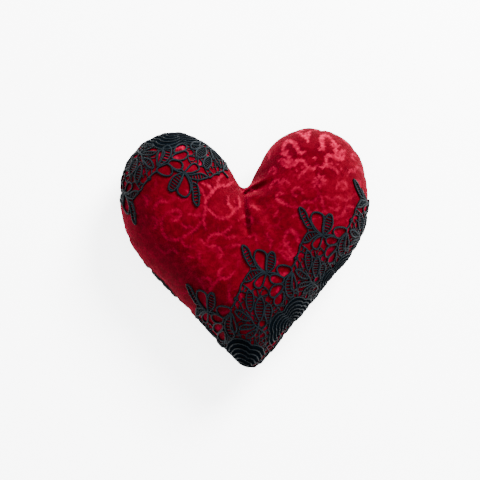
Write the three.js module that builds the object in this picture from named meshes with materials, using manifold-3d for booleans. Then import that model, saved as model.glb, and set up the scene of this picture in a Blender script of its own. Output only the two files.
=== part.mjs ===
// A stuffed velvet heart: two heart-shaped cloth panels sewn face to face, turned, filled and closed by hand,
// with two lengths of black guipure lace laid over the front and tacked down.
// Millimetres. +Z up, the heart lies on its back: the lobes point to +Y and the tip to -Y.
import * as THREE from "three";
import { mergeVertices } from "three/addons/utils/BufferGeometryUtils.js";
import Module from "manifold-3d";

const wasm = await Module();
wasm.setup();

// ---- Driving dimensions ------------------------------------------------------------------------------
const heartWidth = 138; // across the lobes, from seam to seam
const heartLength = 133; // from the tip to the top of the higher lobe
const cleftDepth = 35; // from the top of the higher lobe down to the cleft
const lobeDifference = 3.3; // how much lower the left lobe's top is
const leftLobeTop = 41; // sideways from the middle to the left lobe's top
const rightLobeTop = 38; // sideways from the middle to the right lobe's top
const tipRadius = 8; // rounding of the tip
const tipOffset = 3; // the tip lies this far right of the middle

const seamHeight = 24; // from the table to the seam
const frontRise = 27; // from the seam to the top of the front
const backDrop = 36; // what the back would bulge to below the seam, if the table didn't flatten it
const restRounding = 4; // height over which the flattened part of the back rounds off
const domeFullness = 1.5; // 1 is a tent, 2 is round-shouldered
const velvetThickness = 1.2; // ground and pile
const backingThickness = 0.9;
const seamAllowance = 5; // turned in all round
const seamLip = 1; // how far in the panels stay shut before they part for the seam's thread

const laceThickness = 1.1;
const laceRepeat = 41.7; // from one sprig of the lace to the next
const laceSpearHeight = 19; // how far a sprig's spear stands above the line of the sprigs
const tackLength = 2.4;

const threadThickness = 0.5;
const closingLength = 28; // the opening closed by hand, on the lower left side
const closingPitch = 3.4; // from one ladder stitch to the next
const closingReach = 1.4; // how far a ladder stitch reaches above and below the seam

const clearance = 0.35; // left between pieces that touch
const fillingClearance = 0.8; // left between the filling and the cloth round it
const panelGap = 0.15; // from the seam's plane to either panel, at the lip
const threadGap = threadThickness / 2 + clearance; // from the seam's plane to either allowance

// ---- How finely curved surfaces are cut into flats ----------------------------------------------------
const ringCount = 8;
const stepsPerLobe = 9;
const stepsPerSide = 5;
const stepsAtTip = 6;

// ---- Materials ----------------------------------------------------------------------------------------
const velvet = new THREE.MeshStandardMaterial({ name: "velvet", color: 0x9c0820, roughness: 0.85 });
const backing = new THREE.MeshStandardMaterial({ name: "backing", color: 0x101114, roughness: 0.9 });
const lace = new THREE.MeshStandardMaterial({ name: "lace", color: 0x1b242b, roughness: 0.7 });
const thread = new THREE.MeshStandardMaterial({ name: "thread", color: 0x14181c, roughness: 0.6 });
const fibre = new THREE.MeshStandardMaterial({ name: "fibre", color: 0xece9e2, roughness: 0.95 });

// ---- The seam line ------------------------------------------------------------------------------------
const half = heartWidth / 2;
const top = heartLength / 2;
const heart = new THREE.Vector2(0, -4); // every point of the seam can be seen from here

// The seam's curves, counter-clockwise from the cleft, each with the number of flats it is cut into.
function seamCurves() {
  const at = (x, y) => new THREE.Vector2(x, y);
  const curve = (from, out, back, to) =>
    new THREE.CubicBezierCurve(from, from.clone().add(out), to.clone().add(back), to);
  const cleft = at(0, top - cleftDepth);
  const leftTop = at(-leftLobeTop, top - lobeDifference);
  const rightTop = at(rightLobeTop, top);
  const left = at(-half, top - 0.27 * heartLength);
  const right = at(half, top - 0.27 * heartLength);
  const leftShoulder = at(-0.85 * half, top - 0.54 * heartLength);
  const rightShoulder = at(0.84 * half, top - 0.54 * heartLength);
  const tipLeft = at(tipOffset - 0.8 * tipRadius, -top + 0.4 * tipRadius);
  const tipRight = at(tipOffset + 0.8 * tipRadius, -top + 0.4 * tipRadius);
  return [
    [curve(cleft, at(-0.18 * half, 12.6), at(0.35 * half, 0), leftTop), stepsPerLobe],
    [curve(leftTop, at(-0.2 * half, 0), at(0, 16.8), left), stepsPerLobe],
    [curve(left, at(0, -18), at(-6.4, 8.3), leftShoulder), stepsPerSide],
    [new THREE.LineCurve(leftShoulder, tipLeft), 2 * stepsPerSide],
    [curve(tipLeft, at(0.4 * tipRadius, -0.5 * tipRadius), at(-0.4 * tipRadius, -0.5 * tipRadius), tipRight),
      stepsAtTip],
    [new THREE.LineCurve(tipRight, rightShoulder), 2 * stepsPerSide],
    [curve(rightShoulder, at(8.3, 11.7), at(0, -18), right), stepsPerSide],
    [curve(right, at(0, 19.5), at(0.28 * half, 0), rightTop), stepsPerLobe],
    [curve(rightTop, at(-0.37 * half, 0), at(0.16 * half, 10.4), cleft), stepsPerLobe],
  ];
}

const seam = seamCurves().flatMap(([curve, steps]) => curve.getPoints(steps).slice(0, -1));
const fineSeam = seamCurves().flatMap(([curve, steps]) => curve.getPoints(4 * steps).slice(0, -1));

// The direction into the cloth at each point of the seam.
const inward = seam.map((_, k) => {
  const before = seam[(k + seam.length - 1) % seam.length];
  const after = seam[(k + 1) % seam.length];
  return new THREE.Vector2(before.y - after.y, after.x - before.x).normalize();
});

// The seam's loop, moved inwards by a distance, at a height.
function seamRing(inset, z) {
  return seam.map((q, k) => new THREE.Vector3(q.x + inward[k].x * inset, q.y + inward[k].y * inset, z));
}

// ---- The puffed form ----------------------------------------------------------------------------------
// How deep a point lies inside the seam: near the seam it is the distance to it, and further in it
// levels off smoothly, because it sums the inverse cube of the distance over the whole seam.
function depth(x, y) {
  let sum = 0;
  fineSeam.forEach((q, k) => {
    const next = fineSeam[(k + 1) % fineSeam.length];
    const away = Math.hypot(x - (q.x + next.x) / 2, y - (q.y + next.y) / 2);
    sum += q.distanceTo(next) / Math.max(away, 0.5) ** 3;
  });
  return Math.sqrt(2 / sum);
}
const deepest = Math.max(depth(-0.36 * half, 0.32 * top), depth(0.36 * half, 0.32 * top));

// 0 at the seam and 1 in the middle of a lobe, rising steeply at the seam as stuffed cloth does.
function puff(x, y) {
  const share = Math.min(depth(x, y) / deepest, 1);
  return Math.pow(1 - Math.pow(1 - share, domeFullness), 1 / domeFullness);
}

// The height above the table, pressed flat where the back would reach below it and rounded at the flat's rim.
function onTable(z) {
  if (z <= -restRounding) return 0;
  return z >= restRounding ? z : (z + restRounding) ** 2 / (4 * restRounding);
}

// A panel's outside, as rings of points from the middle to the seam. Its side is 1 for the front and -1 for
// the back.
function panelRings(side) {
  const reach = side > 0 ? frontRise : backDrop;
  return Array.from({ length: ringCount + 1 }, (_, j) => {
    const share = 1 - Math.pow(1 - j / ringCount, 1.4);
    return seam.map((q) => {
      const x = heart.x + (q.x - heart.x) * share;
      const y = heart.y + (q.y - heart.y) * share;
      const raised = j === ringCount ? 0 : puff(x, y);
      return new THREE.Vector3(x, y, onTable(seamHeight + side * (panelGap + reach * raised)));
    });
  });
}

// A panel's surface moved outwards, or inwards where the distance is negative. The seam's own ring moves
// level.
function moved(rings, side, distance) {
  const last = rings.length - 1;
  return rings.map((ring, j) => ring.map((p, k) => {
    if (j === 0) return p.clone().add(new THREE.Vector3(0, 0, side * distance));
    if (j === last) return new THREE.Vector3(p.x - inward[k].x * distance, p.y - inward[k].y * distance, p.z);
    const along = ring[(k + 1) % ring.length].clone().sub(ring[(k + ring.length - 1) % ring.length]);
    const outer = rings[j + 1][k].clone().sub(rings[j - 1][k]);
    return p.clone().addScaledVector(outer.cross(along).normalize(), side * distance);
  }));
}

const frontRings = panelRings(1);
const backRings = panelRings(-1);

// ---- Closed surfaces ----------------------------------------------------------------------------------
// One geometry with shared vertices, where empty triangles are left out.
function weld(positions, index) {
  const loose = new THREE.BufferGeometry();
  loose.setAttribute("position", new THREE.Float32BufferAttribute(positions, 3));
  loose.setIndex(index);
  const merged = mergeVertices(loose, 1e-3);
  const kept = [];
  for (let i = 0; i < merged.index.count; i += 3) {
    const [a, b, c] = merged.index.array.slice(i, i + 3);
    if (a !== b && b !== c && a !== c) kept.push(a, b, c);
  }
  merged.setIndex(kept);
  return merged;
}

// The closed surface through a list of rings. Its first and last rings are single points repeated, unless
// the list is wrapped, where the last ring joins the first one again.
function skin(rings, wrapped = false) {
  const n = rings[0].length;
  const positions = rings.flatMap((ring) => ring.flatMap((p) => [p.x, p.y, p.z]));
  const index = [];
  const strips = wrapped ? rings.length : rings.length - 1;
  for (let j = 0; j < strips; j++) {
    const next = (j + 1) % rings.length;
    for (let k = 0; k < n; k++) {
      const right = (k + 1) % n;
      index.push(j * n + k, next * n + k, j * n + right);
      index.push(j * n + right, next * n + k, next * n + right);
    }
  }
  return weld(positions, index);
}

function solidOf(geometry) {
  const bare = new THREE.BufferGeometry();
  bare.setAttribute("position", geometry.attributes.position);
  bare.setIndex(geometry.index);
  const merged = mergeVertices(bare, 1e-4);
  return new wasm.Manifold(new wasm.Mesh({
    numProp: 3,
    vertProperties: merged.attributes.position.array,
    triVerts: new Uint32Array(merged.index.array),
  }));
}

// The geometry of a solid's largest body; a cut can leave crumbs beside it.
function largestBody(solid) {
  const mesh = solid.decompose().sort((a, b) => b.volume() - a.volume())[0].getMesh();
  const geometry = new THREE.BufferGeometry();
  geometry.setAttribute("position", new THREE.BufferAttribute(Float32Array.from(mesh.vertProperties), 3));
  geometry.setIndex([...mesh.triVerts]);
  return geometry;
}

const group = new THREE.Group();

function addPiece(name, geometry, material) {
  geometry.computeVertexNormals();
  const mesh = new THREE.Mesh(geometry, material.clone());
  mesh.name = name;
  group.add(mesh);
  return mesh;
}

// ---- Cloth and filling --------------------------------------------------------------------------------
// A panel: its outside, the allowance turned in at the seam, and its inside.
function panel(rings, side, thickness) {
  const near = seamHeight + side * threadGap;
  const far = near + side * thickness;
  const profile = [
    ...rings,
    seamRing(seamLip, near),
    seamRing(seamAllowance, near),
    seamRing(seamAllowance, far),
    seamRing(1.3 * thickness, far),
    ...moved(rings, side, -thickness).slice(0, -1).reverse(),
  ];
  return skin(side > 0 ? profile : profile.reverse());
}

// The wad of fibre: it fills both panels and is pinched at the seam by the turned-in allowances. Where the
// cleft's crease would bring it too near a panel, it gives way.
function wad() {
  const shell = (rings, side, thickness) => {
    const face = seamHeight + side * (threadGap + thickness + clearance);
    return [
      ...moved(rings, side, -thickness - fillingClearance).slice(0, -1),
      seamRing(1.3 * thickness + 2 * fillingClearance, face),
      seamRing(seamAllowance + fillingClearance, face),
    ];
  };
  const whole = solidOf(skin([
    ...shell(frontRings, 1, velvetThickness),
    ...shell(backRings, -1, backingThickness).reverse(),
  ]));
  const thickened = [
    panel(frontRings, 1, velvetThickness + clearance),
    panel(backRings, -1, backingThickness + clearance),
  ];
  const cloths = [...thickened, front, back];
  return largestBody(cloths.reduce((rest, cloth) => rest.subtract(solidOf(cloth)), whole));
}

const front = panel(frontRings, 1, velvetThickness);
const back = panel(backRings, -1, backingThickness);
addPiece("front_cover", front, velvet);
addPiece("back_cover", back, backing);
addPiece("filling", wad(), fibre);

// ---- Lace ---------------------------------------------------------------------------------------------
// Where each length lies: the foot of its middle sprig, which way it runs, and the sprigs it shows.
const laceLengths = [
  { name: "lower_right", foot: new THREE.Vector2(13, -14), angle: 34, first: -1, last: 2,
    tacks: [[-1, "spear"], [0, "spear"], [1, "spear"], [0, "knot"], [1, "knot"], [2, "knot"]] },
  { name: "upper_left", foot: new THREE.Vector2(-31, 38.5), angle: 196, first: -1, last: 1,
    tacks: [[0, "spear"], [1, "spear"], [1, "knot"]] },
];

// The edge of one repeat, as [along, across]: knot, leaf, spear, petal, leaf and the hollow after it.
const laceEdge = [
  [-21.5, -0.6], [-17, 0.6], [-12.6, 4.4], [-7, 6.4], [-5.8, 8], [-5, 15], [-2.6, laceSpearHeight],
  [-0.8, 15], [-0.4, 12], [2.4, 13.4], [5.8, 11], [6.4, 8.4], [9.6, 8.6], [10.8, 6], [7.8, 1.2],
  [10, -0.6], [14.2, -4.2], [17.6, -3.4],
];
const tackSpots = { spear: [-2.6, laceSpearHeight - 2.5], knot: [-21.5, -2.3] };

// A point given along and across a length of lace, as a point of the plan.
function onPlan(length, along, across) {
  const turned = new THREE.Vector2(along, across).rotateAround(
    new THREE.Vector2(), THREE.MathUtils.degToRad(length.angle));
  return turned.add(length.foot);
}

// The lace's outline seen from above: the leafy edge, closed far outside the heart.
function laceOutline(length) {
  const right = (length.last + 1) * laceRepeat;
  const left = (length.first - 1) * laceRepeat;
  const points = [[left, -2]];
  for (let sprig = length.first; sprig <= length.last; sprig++)
    laceEdge.forEach(([along, across]) => points.push([along + sprig * laceRepeat, across]));
  points.push([right, -2], [right, -heartLength], [left, -heartLength]);
  return points.map(([along, across]) => onPlan(length, along, across));
}

// A length of lace: what its outline cuts from the layer that lies just outside the front. In the cleft's
// crease the layer is pinched, and there it lies straight on the velvet.
function laceSolid(length) {
  const under = moved(frontRings, 1, clearance);
  const over = moved(frontRings, 1, clearance + laceThickness);
  const layer = solidOf(skin([...over, ...under.reverse()]));
  const prism = new THREE.ExtrudeGeometry(new THREE.Shape(laceOutline(length)), {
    depth: 2 * (seamHeight + frontRise), bevelEnabled: false,
  });
  return largestBody(layer.intersect(solidOf(prism)).subtract(solidOf(front)));
}

// A short stitch over the lace's edge, standing across the lace on its top face.
function tackStitch(length, laceMesh, along, across) {
  const spot = onPlan(length, along, across);
  const ray = new THREE.Raycaster(new THREE.Vector3(spot.x, spot.y, 1000), new THREE.Vector3(0, 0, -1));
  const hit = ray.intersectObject(laceMesh)[0];
  const lift = clearance + threadThickness / 2 + 0.1;
  const acrossLace = onPlan(length, along, across + 1).sub(spot);
  const bar = new THREE.Vector3(acrossLace.x, acrossLace.y, 0).projectOnPlane(hit.face.normal).normalize();
  const stitch = new THREE.CapsuleGeometry(threadThickness / 2, tackLength - threadThickness, 2, 8, 1);
  stitch.applyQuaternion(new THREE.Quaternion().setFromUnitVectors(new THREE.Vector3(0, 1, 0), bar));
  const centre = hit.point.clone().addScaledVector(hit.face.normal, lift);
  stitch.translate(centre.x, centre.y, centre.z);
  return weld([...stitch.attributes.position.array], [...stitch.index.array]);
}

laceLengths.forEach((length) => {
  const laceMesh = addPiece(`lace_${length.name}`, laceSolid(length), lace);
  laceMesh.updateMatrixWorld();
  length.tacks.forEach(([sprig, spot]) => {
    const [along, across] = tackSpots[spot];
    const stitch = tackStitch(length, laceMesh, along + sprig * laceRepeat, across);
    addPiece(`tack_${length.name}_${spot}_${sprig - length.first + 1}`, stitch, thread);
  });
});

// ---- Threads ------------------------------------------------------------------------------------------
// The seam's thread: a ring that runs between the two allowances, just inside the lip.
function seamThread() {
  const sides = 6;
  const rings = Array.from({ length: sides }, (_, s) => {
    const turn = (2 * Math.PI * s) / sides;
    return seamRing(seamLip + threadThickness + (threadThickness / 2) * Math.cos(turn),
      seamHeight + (threadThickness / 2) * Math.sin(turn));
  });
  return skin(rings, true);
}

// The ladder stitch that closes the turning gap: it steps over the seam, runs along, and steps back.
function ladderStitch() {
  const shoulder = seamCurves()[3][0];
  const tangent = shoulder.v2.clone().sub(shoulder.v1).normalize();
  const out = new THREE.Vector3(tangent.y, -tangent.x, 0);
  const along = new THREE.Vector3(tangent.x, tangent.y, 0);
  const middle = shoulder.getPoint(0.22);
  const face = clearance + threadThickness / 2 + 0.1;
  const corners = [];
  const rungs = Math.floor(closingLength / closingPitch);
  for (let k = 0; k <= rungs; k++) {
    const side = k % 2 === 0 ? 1 : -1;
    const place = (k - rungs / 2) * closingPitch;
    corners.push([place, -side * closingReach], [place, side * closingReach]);
  }
  const r = threadThickness / 2;
  const centre = ([place, rise]) => new THREE.Vector3(middle.x, middle.y, seamHeight)
    .addScaledVector(along, place).addScaledVector(out, face).add(new THREE.Vector3(0, 0, rise));
  const rings = corners.map((corner, k) => {
    const p = centre(corner);
    const before = corners[k - 1] ? p.clone().sub(centre(corners[k - 1])).normalize() : null;
    const after = corners[k + 1] ? centre(corners[k + 1]).sub(p).normalize() : null;
    const forward = (before ?? after).clone().add(after ?? before).normalize();
    const widen = before && after ? 1 / Math.cos(before.angleTo(after) / 2) : 1;
    const side = forward.clone().cross(out).multiplyScalar(r * widen);
    const rise = out.clone().multiplyScalar(r);
    return [side.clone().add(rise), side.clone().negate().add(rise), side.clone().negate().sub(rise),
      side.clone().sub(rise)].map((q) => q.add(p));
  });
  const cap = (ring) => {
    const mid = ring.reduce((sum, p) => sum.add(p), new THREE.Vector3()).divideScalar(ring.length);
    return ring.map(() => mid);
  };
  return skin([cap(rings[0]), ...rings, cap(rings[rings.length - 1])]);
}

addPiece("seam_thread", seamThread(), thread);
addPiece("closing_stitches", ladderStitch(), thread);

// The middle of the whole heart's footprint is the origin, on the table.
const box = new THREE.Box3().setFromObject(group);
const middle = box.getCenter(new THREE.Vector3());
group.position.set(-middle.x, -middle.y, -box.min.z);

export default group;
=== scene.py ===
"""A stuffed heart of figured red velvet with black guipure lace, laid on its back on a pale surface.

The cushion is made first: a puffed heart is computed on a ring grid, swollen by a cloth simulation that is held at
the seam, creased and puckered. Everything else, the lace, the threads and the filling, is laid on that surface.
All sizes are in millimetres in the heart's own plan until a piece is finished, when they become metres.
"""

import logging
import math
from dataclasses import dataclass, field
from enum import Enum

import bpy
import numpy as np
from mathutils import Matrix


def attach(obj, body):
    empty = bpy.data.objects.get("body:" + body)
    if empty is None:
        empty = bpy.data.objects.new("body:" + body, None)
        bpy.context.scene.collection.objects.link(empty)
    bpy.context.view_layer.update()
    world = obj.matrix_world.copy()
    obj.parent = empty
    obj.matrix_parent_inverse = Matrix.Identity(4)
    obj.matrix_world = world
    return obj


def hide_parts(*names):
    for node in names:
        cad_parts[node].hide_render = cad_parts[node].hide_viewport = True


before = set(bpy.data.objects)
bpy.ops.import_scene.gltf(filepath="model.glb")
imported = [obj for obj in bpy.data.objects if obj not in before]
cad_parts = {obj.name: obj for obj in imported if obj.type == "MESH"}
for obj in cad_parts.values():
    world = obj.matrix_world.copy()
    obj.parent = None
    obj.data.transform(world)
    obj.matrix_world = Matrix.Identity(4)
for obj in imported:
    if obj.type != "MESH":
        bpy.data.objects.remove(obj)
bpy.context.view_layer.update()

LOG = logging.getLogger("velvet_heart")
Array = np.ndarray
MM = 0.001


# ---------------------------------------------------------------------------------------------------------------------
# Sizes
# ---------------------------------------------------------------------------------------------------------------------
@dataclass(frozen=True)
class HeartSize:
    """The heart's sizes, in millimetres.

    Attributes:
        seam_height: From the table to the seam.
        front_rise: From the seam to the top of the front.
        back_drop: What the back would bulge to below the seam if nothing flattened it.
        rest_rounding: Height over which the flattened part of the back rounds off.
        fullness: Exponent of the cushion's section; 1 is a tent, 2 is round-shouldered.
        heart: The point that every point of the seam can be seen from.
        shift: What moves the heart's plan onto the row frame's origin.
        velvet: Thickness of the velvet.
        backing: Thickness of the back cloth.
        allowance: Width of the seam allowance turned in.
    """

    seam_height: float = 24.0
    front_rise: float = 27.0
    back_drop: float = 36.0
    rest_rounding: float = 4.0
    fullness: float = 1.5
    heart: tuple[float, float] = (0.0, -4.0)
    shift: tuple[float, float] = (0.0, 0.64)
    velvet: float = 1.0
    backing: float = 0.7
    allowance: float = 5.0


SIZE = HeartSize()


class Slot(str, Enum):
    """Material slots."""

    VELVET = "velvet"
    BACKING = "backing"
    LACE = "lace"
    THREAD = "thread"
    FIBRE = "fibre"


# ---------------------------------------------------------------------------------------------------------------------
# Small numeric helpers
# ---------------------------------------------------------------------------------------------------------------------
def bezier(points: Array, steps: int) -> Array:
    """Points along a cubic Bezier curve, without its last point.

    Args:
        points: The four control points, one a row.
        steps: How many points.

    Returns:
        Array of steps rows.
    """
    t = np.linspace(0.0, 1.0, steps, endpoint=False)[:, None]
    a, b, c, d = points
    return (1 - t) ** 3 * a + 3 * (1 - t) ** 2 * t * b + 3 * (1 - t) * t**2 * c + t**3 * d


def spline(points: Array, step: float, closed: bool = False) -> Array:
    """A Catmull-Rom curve through points, cut into even steps.

    Args:
        points: The points it passes through, one a row.
        step: Length of a step.
        closed: Whether the last point joins the first.

    Returns:
        Points along the curve; a closed curve doesn't repeat its first point.
    """
    p = np.asarray(points, float)
    if closed:
        ext = np.vstack([p[-1:], p, p[:2]])
    else:
        ext = np.vstack([2 * p[:1] - p[1:2], p, 2 * p[-1:] - p[-2:-1]])
    t = np.linspace(0.0, 1.0, 12, endpoint=False)[None, :, None]
    a, b, c, d = (ext[k : len(ext) - 3 + k, None, :] for k in range(4))
    fine = 0.5 * (2 * b + (c - a) * t + (2 * a - 5 * b + 4 * c - d) * t**2 + (3 * b - a - 3 * c + d) * t**3)
    fine = np.vstack([fine.reshape(-1, p.shape[1]), p[:1] if closed else p[-1:]])
    run = np.concatenate([[0.0], np.cumsum(np.linalg.norm(np.diff(fine, axis=0), axis=1))])
    count = max(int(round(run[-1] / step)), 3)
    marks = np.linspace(0.0, run[-1], count, endpoint=not closed)
    return np.stack([np.interp(marks, run, fine[:, k]) for k in range(p.shape[1])], axis=1)


def wave_noise(s: Array, lengths: tuple[float, ...], seed: int) -> Array:
    """Smooth noise along a line: a sum of sines of the given wavelengths with random phases, about -1 to 1.

    Args:
        s: Places along the line.
        lengths: Wavelengths, the strongest first.
        seed: Seed of the phases.

    Returns:
        The noise at each place.
    """
    rng = np.random.default_rng(seed)
    total = np.zeros_like(s)
    for k, length in enumerate(lengths):
        total += np.sin(2 * np.pi * s / length + rng.uniform(0, 2 * np.pi)) / (1 + 0.4 * k)
    return total / sum(1 / (1 + 0.4 * k) for k in range(len(lengths))) * 1.4


def distance_to_path(points: Array, path: Array) -> tuple[Array, Array]:
    """Plan distance from points to a polyline, and how far along it the nearest place is.

    Args:
        points: Points, two columns.
        path: The polyline's corners.

    Returns:
        Distance to the polyline, and the nearest place as a share of its length.
    """
    best = np.full(len(points), np.inf)
    place = np.zeros(len(points))
    lengths = np.linalg.norm(np.diff(path, axis=0), axis=1)
    before = np.concatenate([[0.0], np.cumsum(lengths)])
    for k in range(len(path) - 1):
        run = path[k + 1] - path[k]
        t = np.clip(((points - path[k]) @ run) / (run @ run), 0, 1)
        away = np.linalg.norm(points - path[k] - t[:, None] * run, axis=1)
        nearer = away < best
        best[nearer] = away[nearer]
        place[nearer] = (before[k] + t[nearer] * lengths[k]) / before[-1]
    return best, place


# ---------------------------------------------------------------------------------------------------------------------
# Meshes
# ---------------------------------------------------------------------------------------------------------------------
@dataclass
class Solid:
    """A growing mesh: points, quads, and an optional UV pair a point.

    Attributes:
        points: Blocks of points, in millimetres.
        faces: Blocks of quads that index all points so far.
        uvs: Blocks of UV pairs, one a point.
        count: How many points there are.
    """

    points: list[Array] = field(default_factory=list)
    faces: list[Array] = field(default_factory=list)
    uvs: list[Array] = field(default_factory=list)
    count: int = 0

    def add(self, points: Array, faces: Array, uv: Array | None = None) -> None:
        """Adds points and the faces between them.

        Args:
            points: Points, three columns.
            faces: Quads that index these points; a triangle repeats its last corner.
            uv: One UV pair a point.
        """
        self.points.append(points)
        self.faces.append(faces + self.count)
        self.uvs.append(np.zeros((len(points), 2)) if uv is None else uv)
        self.count += len(points)

    def build(self, name: str, attributes: dict[str, Array] | None = None) -> bpy.types.Object:
        """Makes the Blender object, in metres and in the row frame.

        Args:
            name: The object's name.
            attributes: Float point attributes by name.

        Returns:
            The new object, linked to the scene.
        """
        points = np.vstack(self.points)
        faces = np.vstack(self.faces)
        placed = (points + np.array([SIZE.shift[0], SIZE.shift[1], 0.0])) * MM
        mesh = bpy.data.meshes.new(name)
        rows = [tuple(f[:3]) if f[2] == f[3] else tuple(f) for f in faces.tolist()]
        mesh.from_pydata(placed.tolist(), [], rows)
        corner = np.empty(len(mesh.loops), dtype=np.int32)
        mesh.loops.foreach_get("vertex_index", corner)
        uv = np.vstack(self.uvs)[corner]
        mesh.uv_layers.new(name="UVMap").data.foreach_set("uv", uv.astype(np.float32).ravel())
        for key, values in (attributes or {}).items():
            mesh.attributes.new(key, "FLOAT", "POINT").data.foreach_set("value", values.astype(np.float32))
        mesh.polygons.foreach_set("use_smooth", np.ones(len(mesh.polygons), dtype=bool))
        mesh.update()
        obj = bpy.data.objects.new(name, mesh)
        bpy.context.scene.collection.objects.link(obj)
        return obj


def grid_faces(rows: int, columns: int, wrap_rows: bool = False) -> Array:
    """Quads of a grid of points whose columns wrap round.

    Args:
        rows: Rings of points.
        columns: Points in a ring.
        wrap_rows: Whether the last ring joins the first.

    Returns:
        Quads, four columns.
    """
    last = rows if wrap_rows else rows - 1
    r, c = np.meshgrid(np.arange(last), np.arange(columns), indexing="ij")
    up, right = (r + 1) % rows, (c + 1) % columns
    quads = np.stack([r * columns + c, up * columns + c, up * columns + right, r * columns + right], axis=-1)
    return quads.reshape(-1, 4)


def capped_faces(rows: int, columns: int) -> Array:
    """Quads of a closed grid: rings of points, then one point at the first ring's end and one at the last's.

    Args:
        rows: Rings of points.
        columns: Points in a ring.

    Returns:
        Quads, with the caps' triangles as quads that repeat their last corner.
    """
    c = np.arange(columns)
    right = (c + 1) % columns
    first, last = rows * columns, rows * columns + 1
    low = np.stack([np.full(columns, first), c, right, right], axis=1)
    base = (rows - 1) * columns
    high = np.stack([np.full(columns, last), base + right, base + c, base + c], axis=1)
    return np.vstack([grid_faces(rows, columns), low, high])


def add_tube(
    solid: Solid, path: Array, up: Array, wide: float, tall: float, sides: int = 8, closed: bool = False
) -> None:
    """Adds a cord of oval section along a path.

    Each ring lies in the plane of the surface's normal n and the side direction b = n x t, where t is the path's
    direction: p(a) = c + b wide cos(a) + n tall sin(a). U runs once round, and V is the length run in millimetres.

    Args:
        solid: The mesh it is added to.
        path: The cord's centre line.
        up: The surface's normal at each point of the path.
        wide: Half width along the surface.
        tall: Half height off it.
        sides: Points round the cord.
        closed: Whether the path is a loop.
    """
    if closed:
        run = np.roll(path, -1, axis=0) - np.roll(path, 1, axis=0)
    else:
        run = np.gradient(path, axis=0)
    run /= np.maximum(np.linalg.norm(run, axis=1, keepdims=True), 1e-9)
    side = np.cross(up, run)
    side /= np.maximum(np.linalg.norm(side, axis=1, keepdims=True), 1e-9)
    lift = np.cross(run, side)
    angle = np.linspace(0, 2 * np.pi, sides, endpoint=False)
    end = np.ones(len(path))
    if not closed:
        end[[0, -1]] = 0.6
    rings = (
        path[:, None]
        + side[:, None] * (wide * np.cos(angle))[None, :, None] * end[:, None, None]
        + lift[:, None] * (tall * np.sin(angle))[None, :, None] * end[:, None, None]
    )
    length = np.concatenate([[0.0], np.cumsum(np.linalg.norm(np.diff(path, axis=0), axis=1))])
    turn = np.minimum(np.arange(sides), sides - np.arange(sides)) / sides * 2
    uv = np.stack(np.broadcast_arrays(turn[None, :], length[:, None]), axis=-1).reshape(-1, 2)
    if closed:
        solid.add(rings.reshape(-1, 3), grid_faces(len(path), sides, True)[:, ::-1], uv)
        return
    caps = np.stack([path[0] - run[0] * wide * 0.5, path[-1] + run[-1] * wide * 0.5])
    uv = np.vstack([uv, [[0.5, length[0]], [0.5, length[-1]]]])
    solid.add(np.vstack([rings.reshape(-1, 3), caps]), capped_faces(len(path), sides)[:, ::-1], uv)


# ---------------------------------------------------------------------------------------------------------------------
# The cushion's surface
# ---------------------------------------------------------------------------------------------------------------------
def seam_plan(count: int) -> Array:
    """The seam's outline in plan, as evenly spaced points that start at the cleft and run anticlockwise.

    Args:
        count: How many points.

    Returns:
        Points, two columns, in millimetres.
    """
    half, top = 69.0, 66.5
    cleft, tip_left, tip_right = np.array([-0.4, 32.9]), np.array([-3.4, -63.3]), np.array([9.4, -63.3])
    left_top, right_top = np.array([-41.0, 63.2]), np.array([38.0, top])
    left_wall, right_wall = np.array([-10.0, 45.8]), np.array([8.7, 45.8])
    left, right = np.array([-half, 30.6]), np.array([half, 30.6])
    left_shoulder, right_shoulder = np.array([-58.65, -5.3]), np.array([57.96, -5.3])

    def curve(a: Array, out: tuple, back: tuple, b: Array) -> Array:
        return bezier(np.array([a, a + out, b + back, b]), 200)

    def line(a: Array, b: Array) -> Array:
        return a + (b - a) * np.linspace(0, 1, 200, endpoint=False)[:, None]

    loop = np.vstack([
        curve(cleft, (-4.1, 0.4), (5.2, -5.9), left_wall),
        curve(left_wall, (-6.7, 7.5), (15.9, 0.0), left_top),
        curve(left_top, (-13.8, 0.0), (0.0, 16.8), left),
        curve(left, (0.0, -18.0), (-6.4, 8.3), left_shoulder),
        line(left_shoulder, tip_left),
        curve(tip_left, (3.2, -4.0), (-3.2, -4.0), tip_right),
        line(tip_right, right_shoulder),
        curve(right_shoulder, (8.3, 11.7), (0.0, -18.0), right),
        curve(right, (0.0, 19.5), (19.3, 0.0), right_top),
        curve(right_top, (-22.7, 0.0), (0.8, 1.2), right_wall),
        curve(right_wall, (-5.8, -8.8), (4.7, 0.4), cleft),
    ])
    loop = np.vstack([loop, loop[:1]])
    run = np.concatenate([[0.0], np.cumsum(np.linalg.norm(np.diff(loop, axis=0), axis=1))])
    marks = np.linspace(0, run[-1], count, endpoint=False)
    return np.stack([np.interp(marks, run, loop[:, k]) for k in range(2)], axis=1)


def depth_inside(points: Array, seam: Array) -> Array:
    """How deep points lie inside the seam.

    It is u = (integral ds / r^3)^(-1/2) times sqrt(2): near the seam it is the distance to it, and further in it
    levels off smoothly.

    Args:
        points: Points, two columns.
        seam: The seam's points, evenly spaced.

    Returns:
        Depth of each point.
    """
    step = np.linalg.norm(seam - np.roll(seam, -1, axis=0), axis=1)
    out = np.empty(len(points))
    for first in range(0, len(points), 4000):
        part = points[first : first + 4000]
        away = np.maximum(np.linalg.norm(part[:, None] - seam[None], axis=2), 0.5)
        out[first : first + 4000] = np.sqrt(2.0 / (step / away**3).sum(axis=1))
    return out


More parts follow.
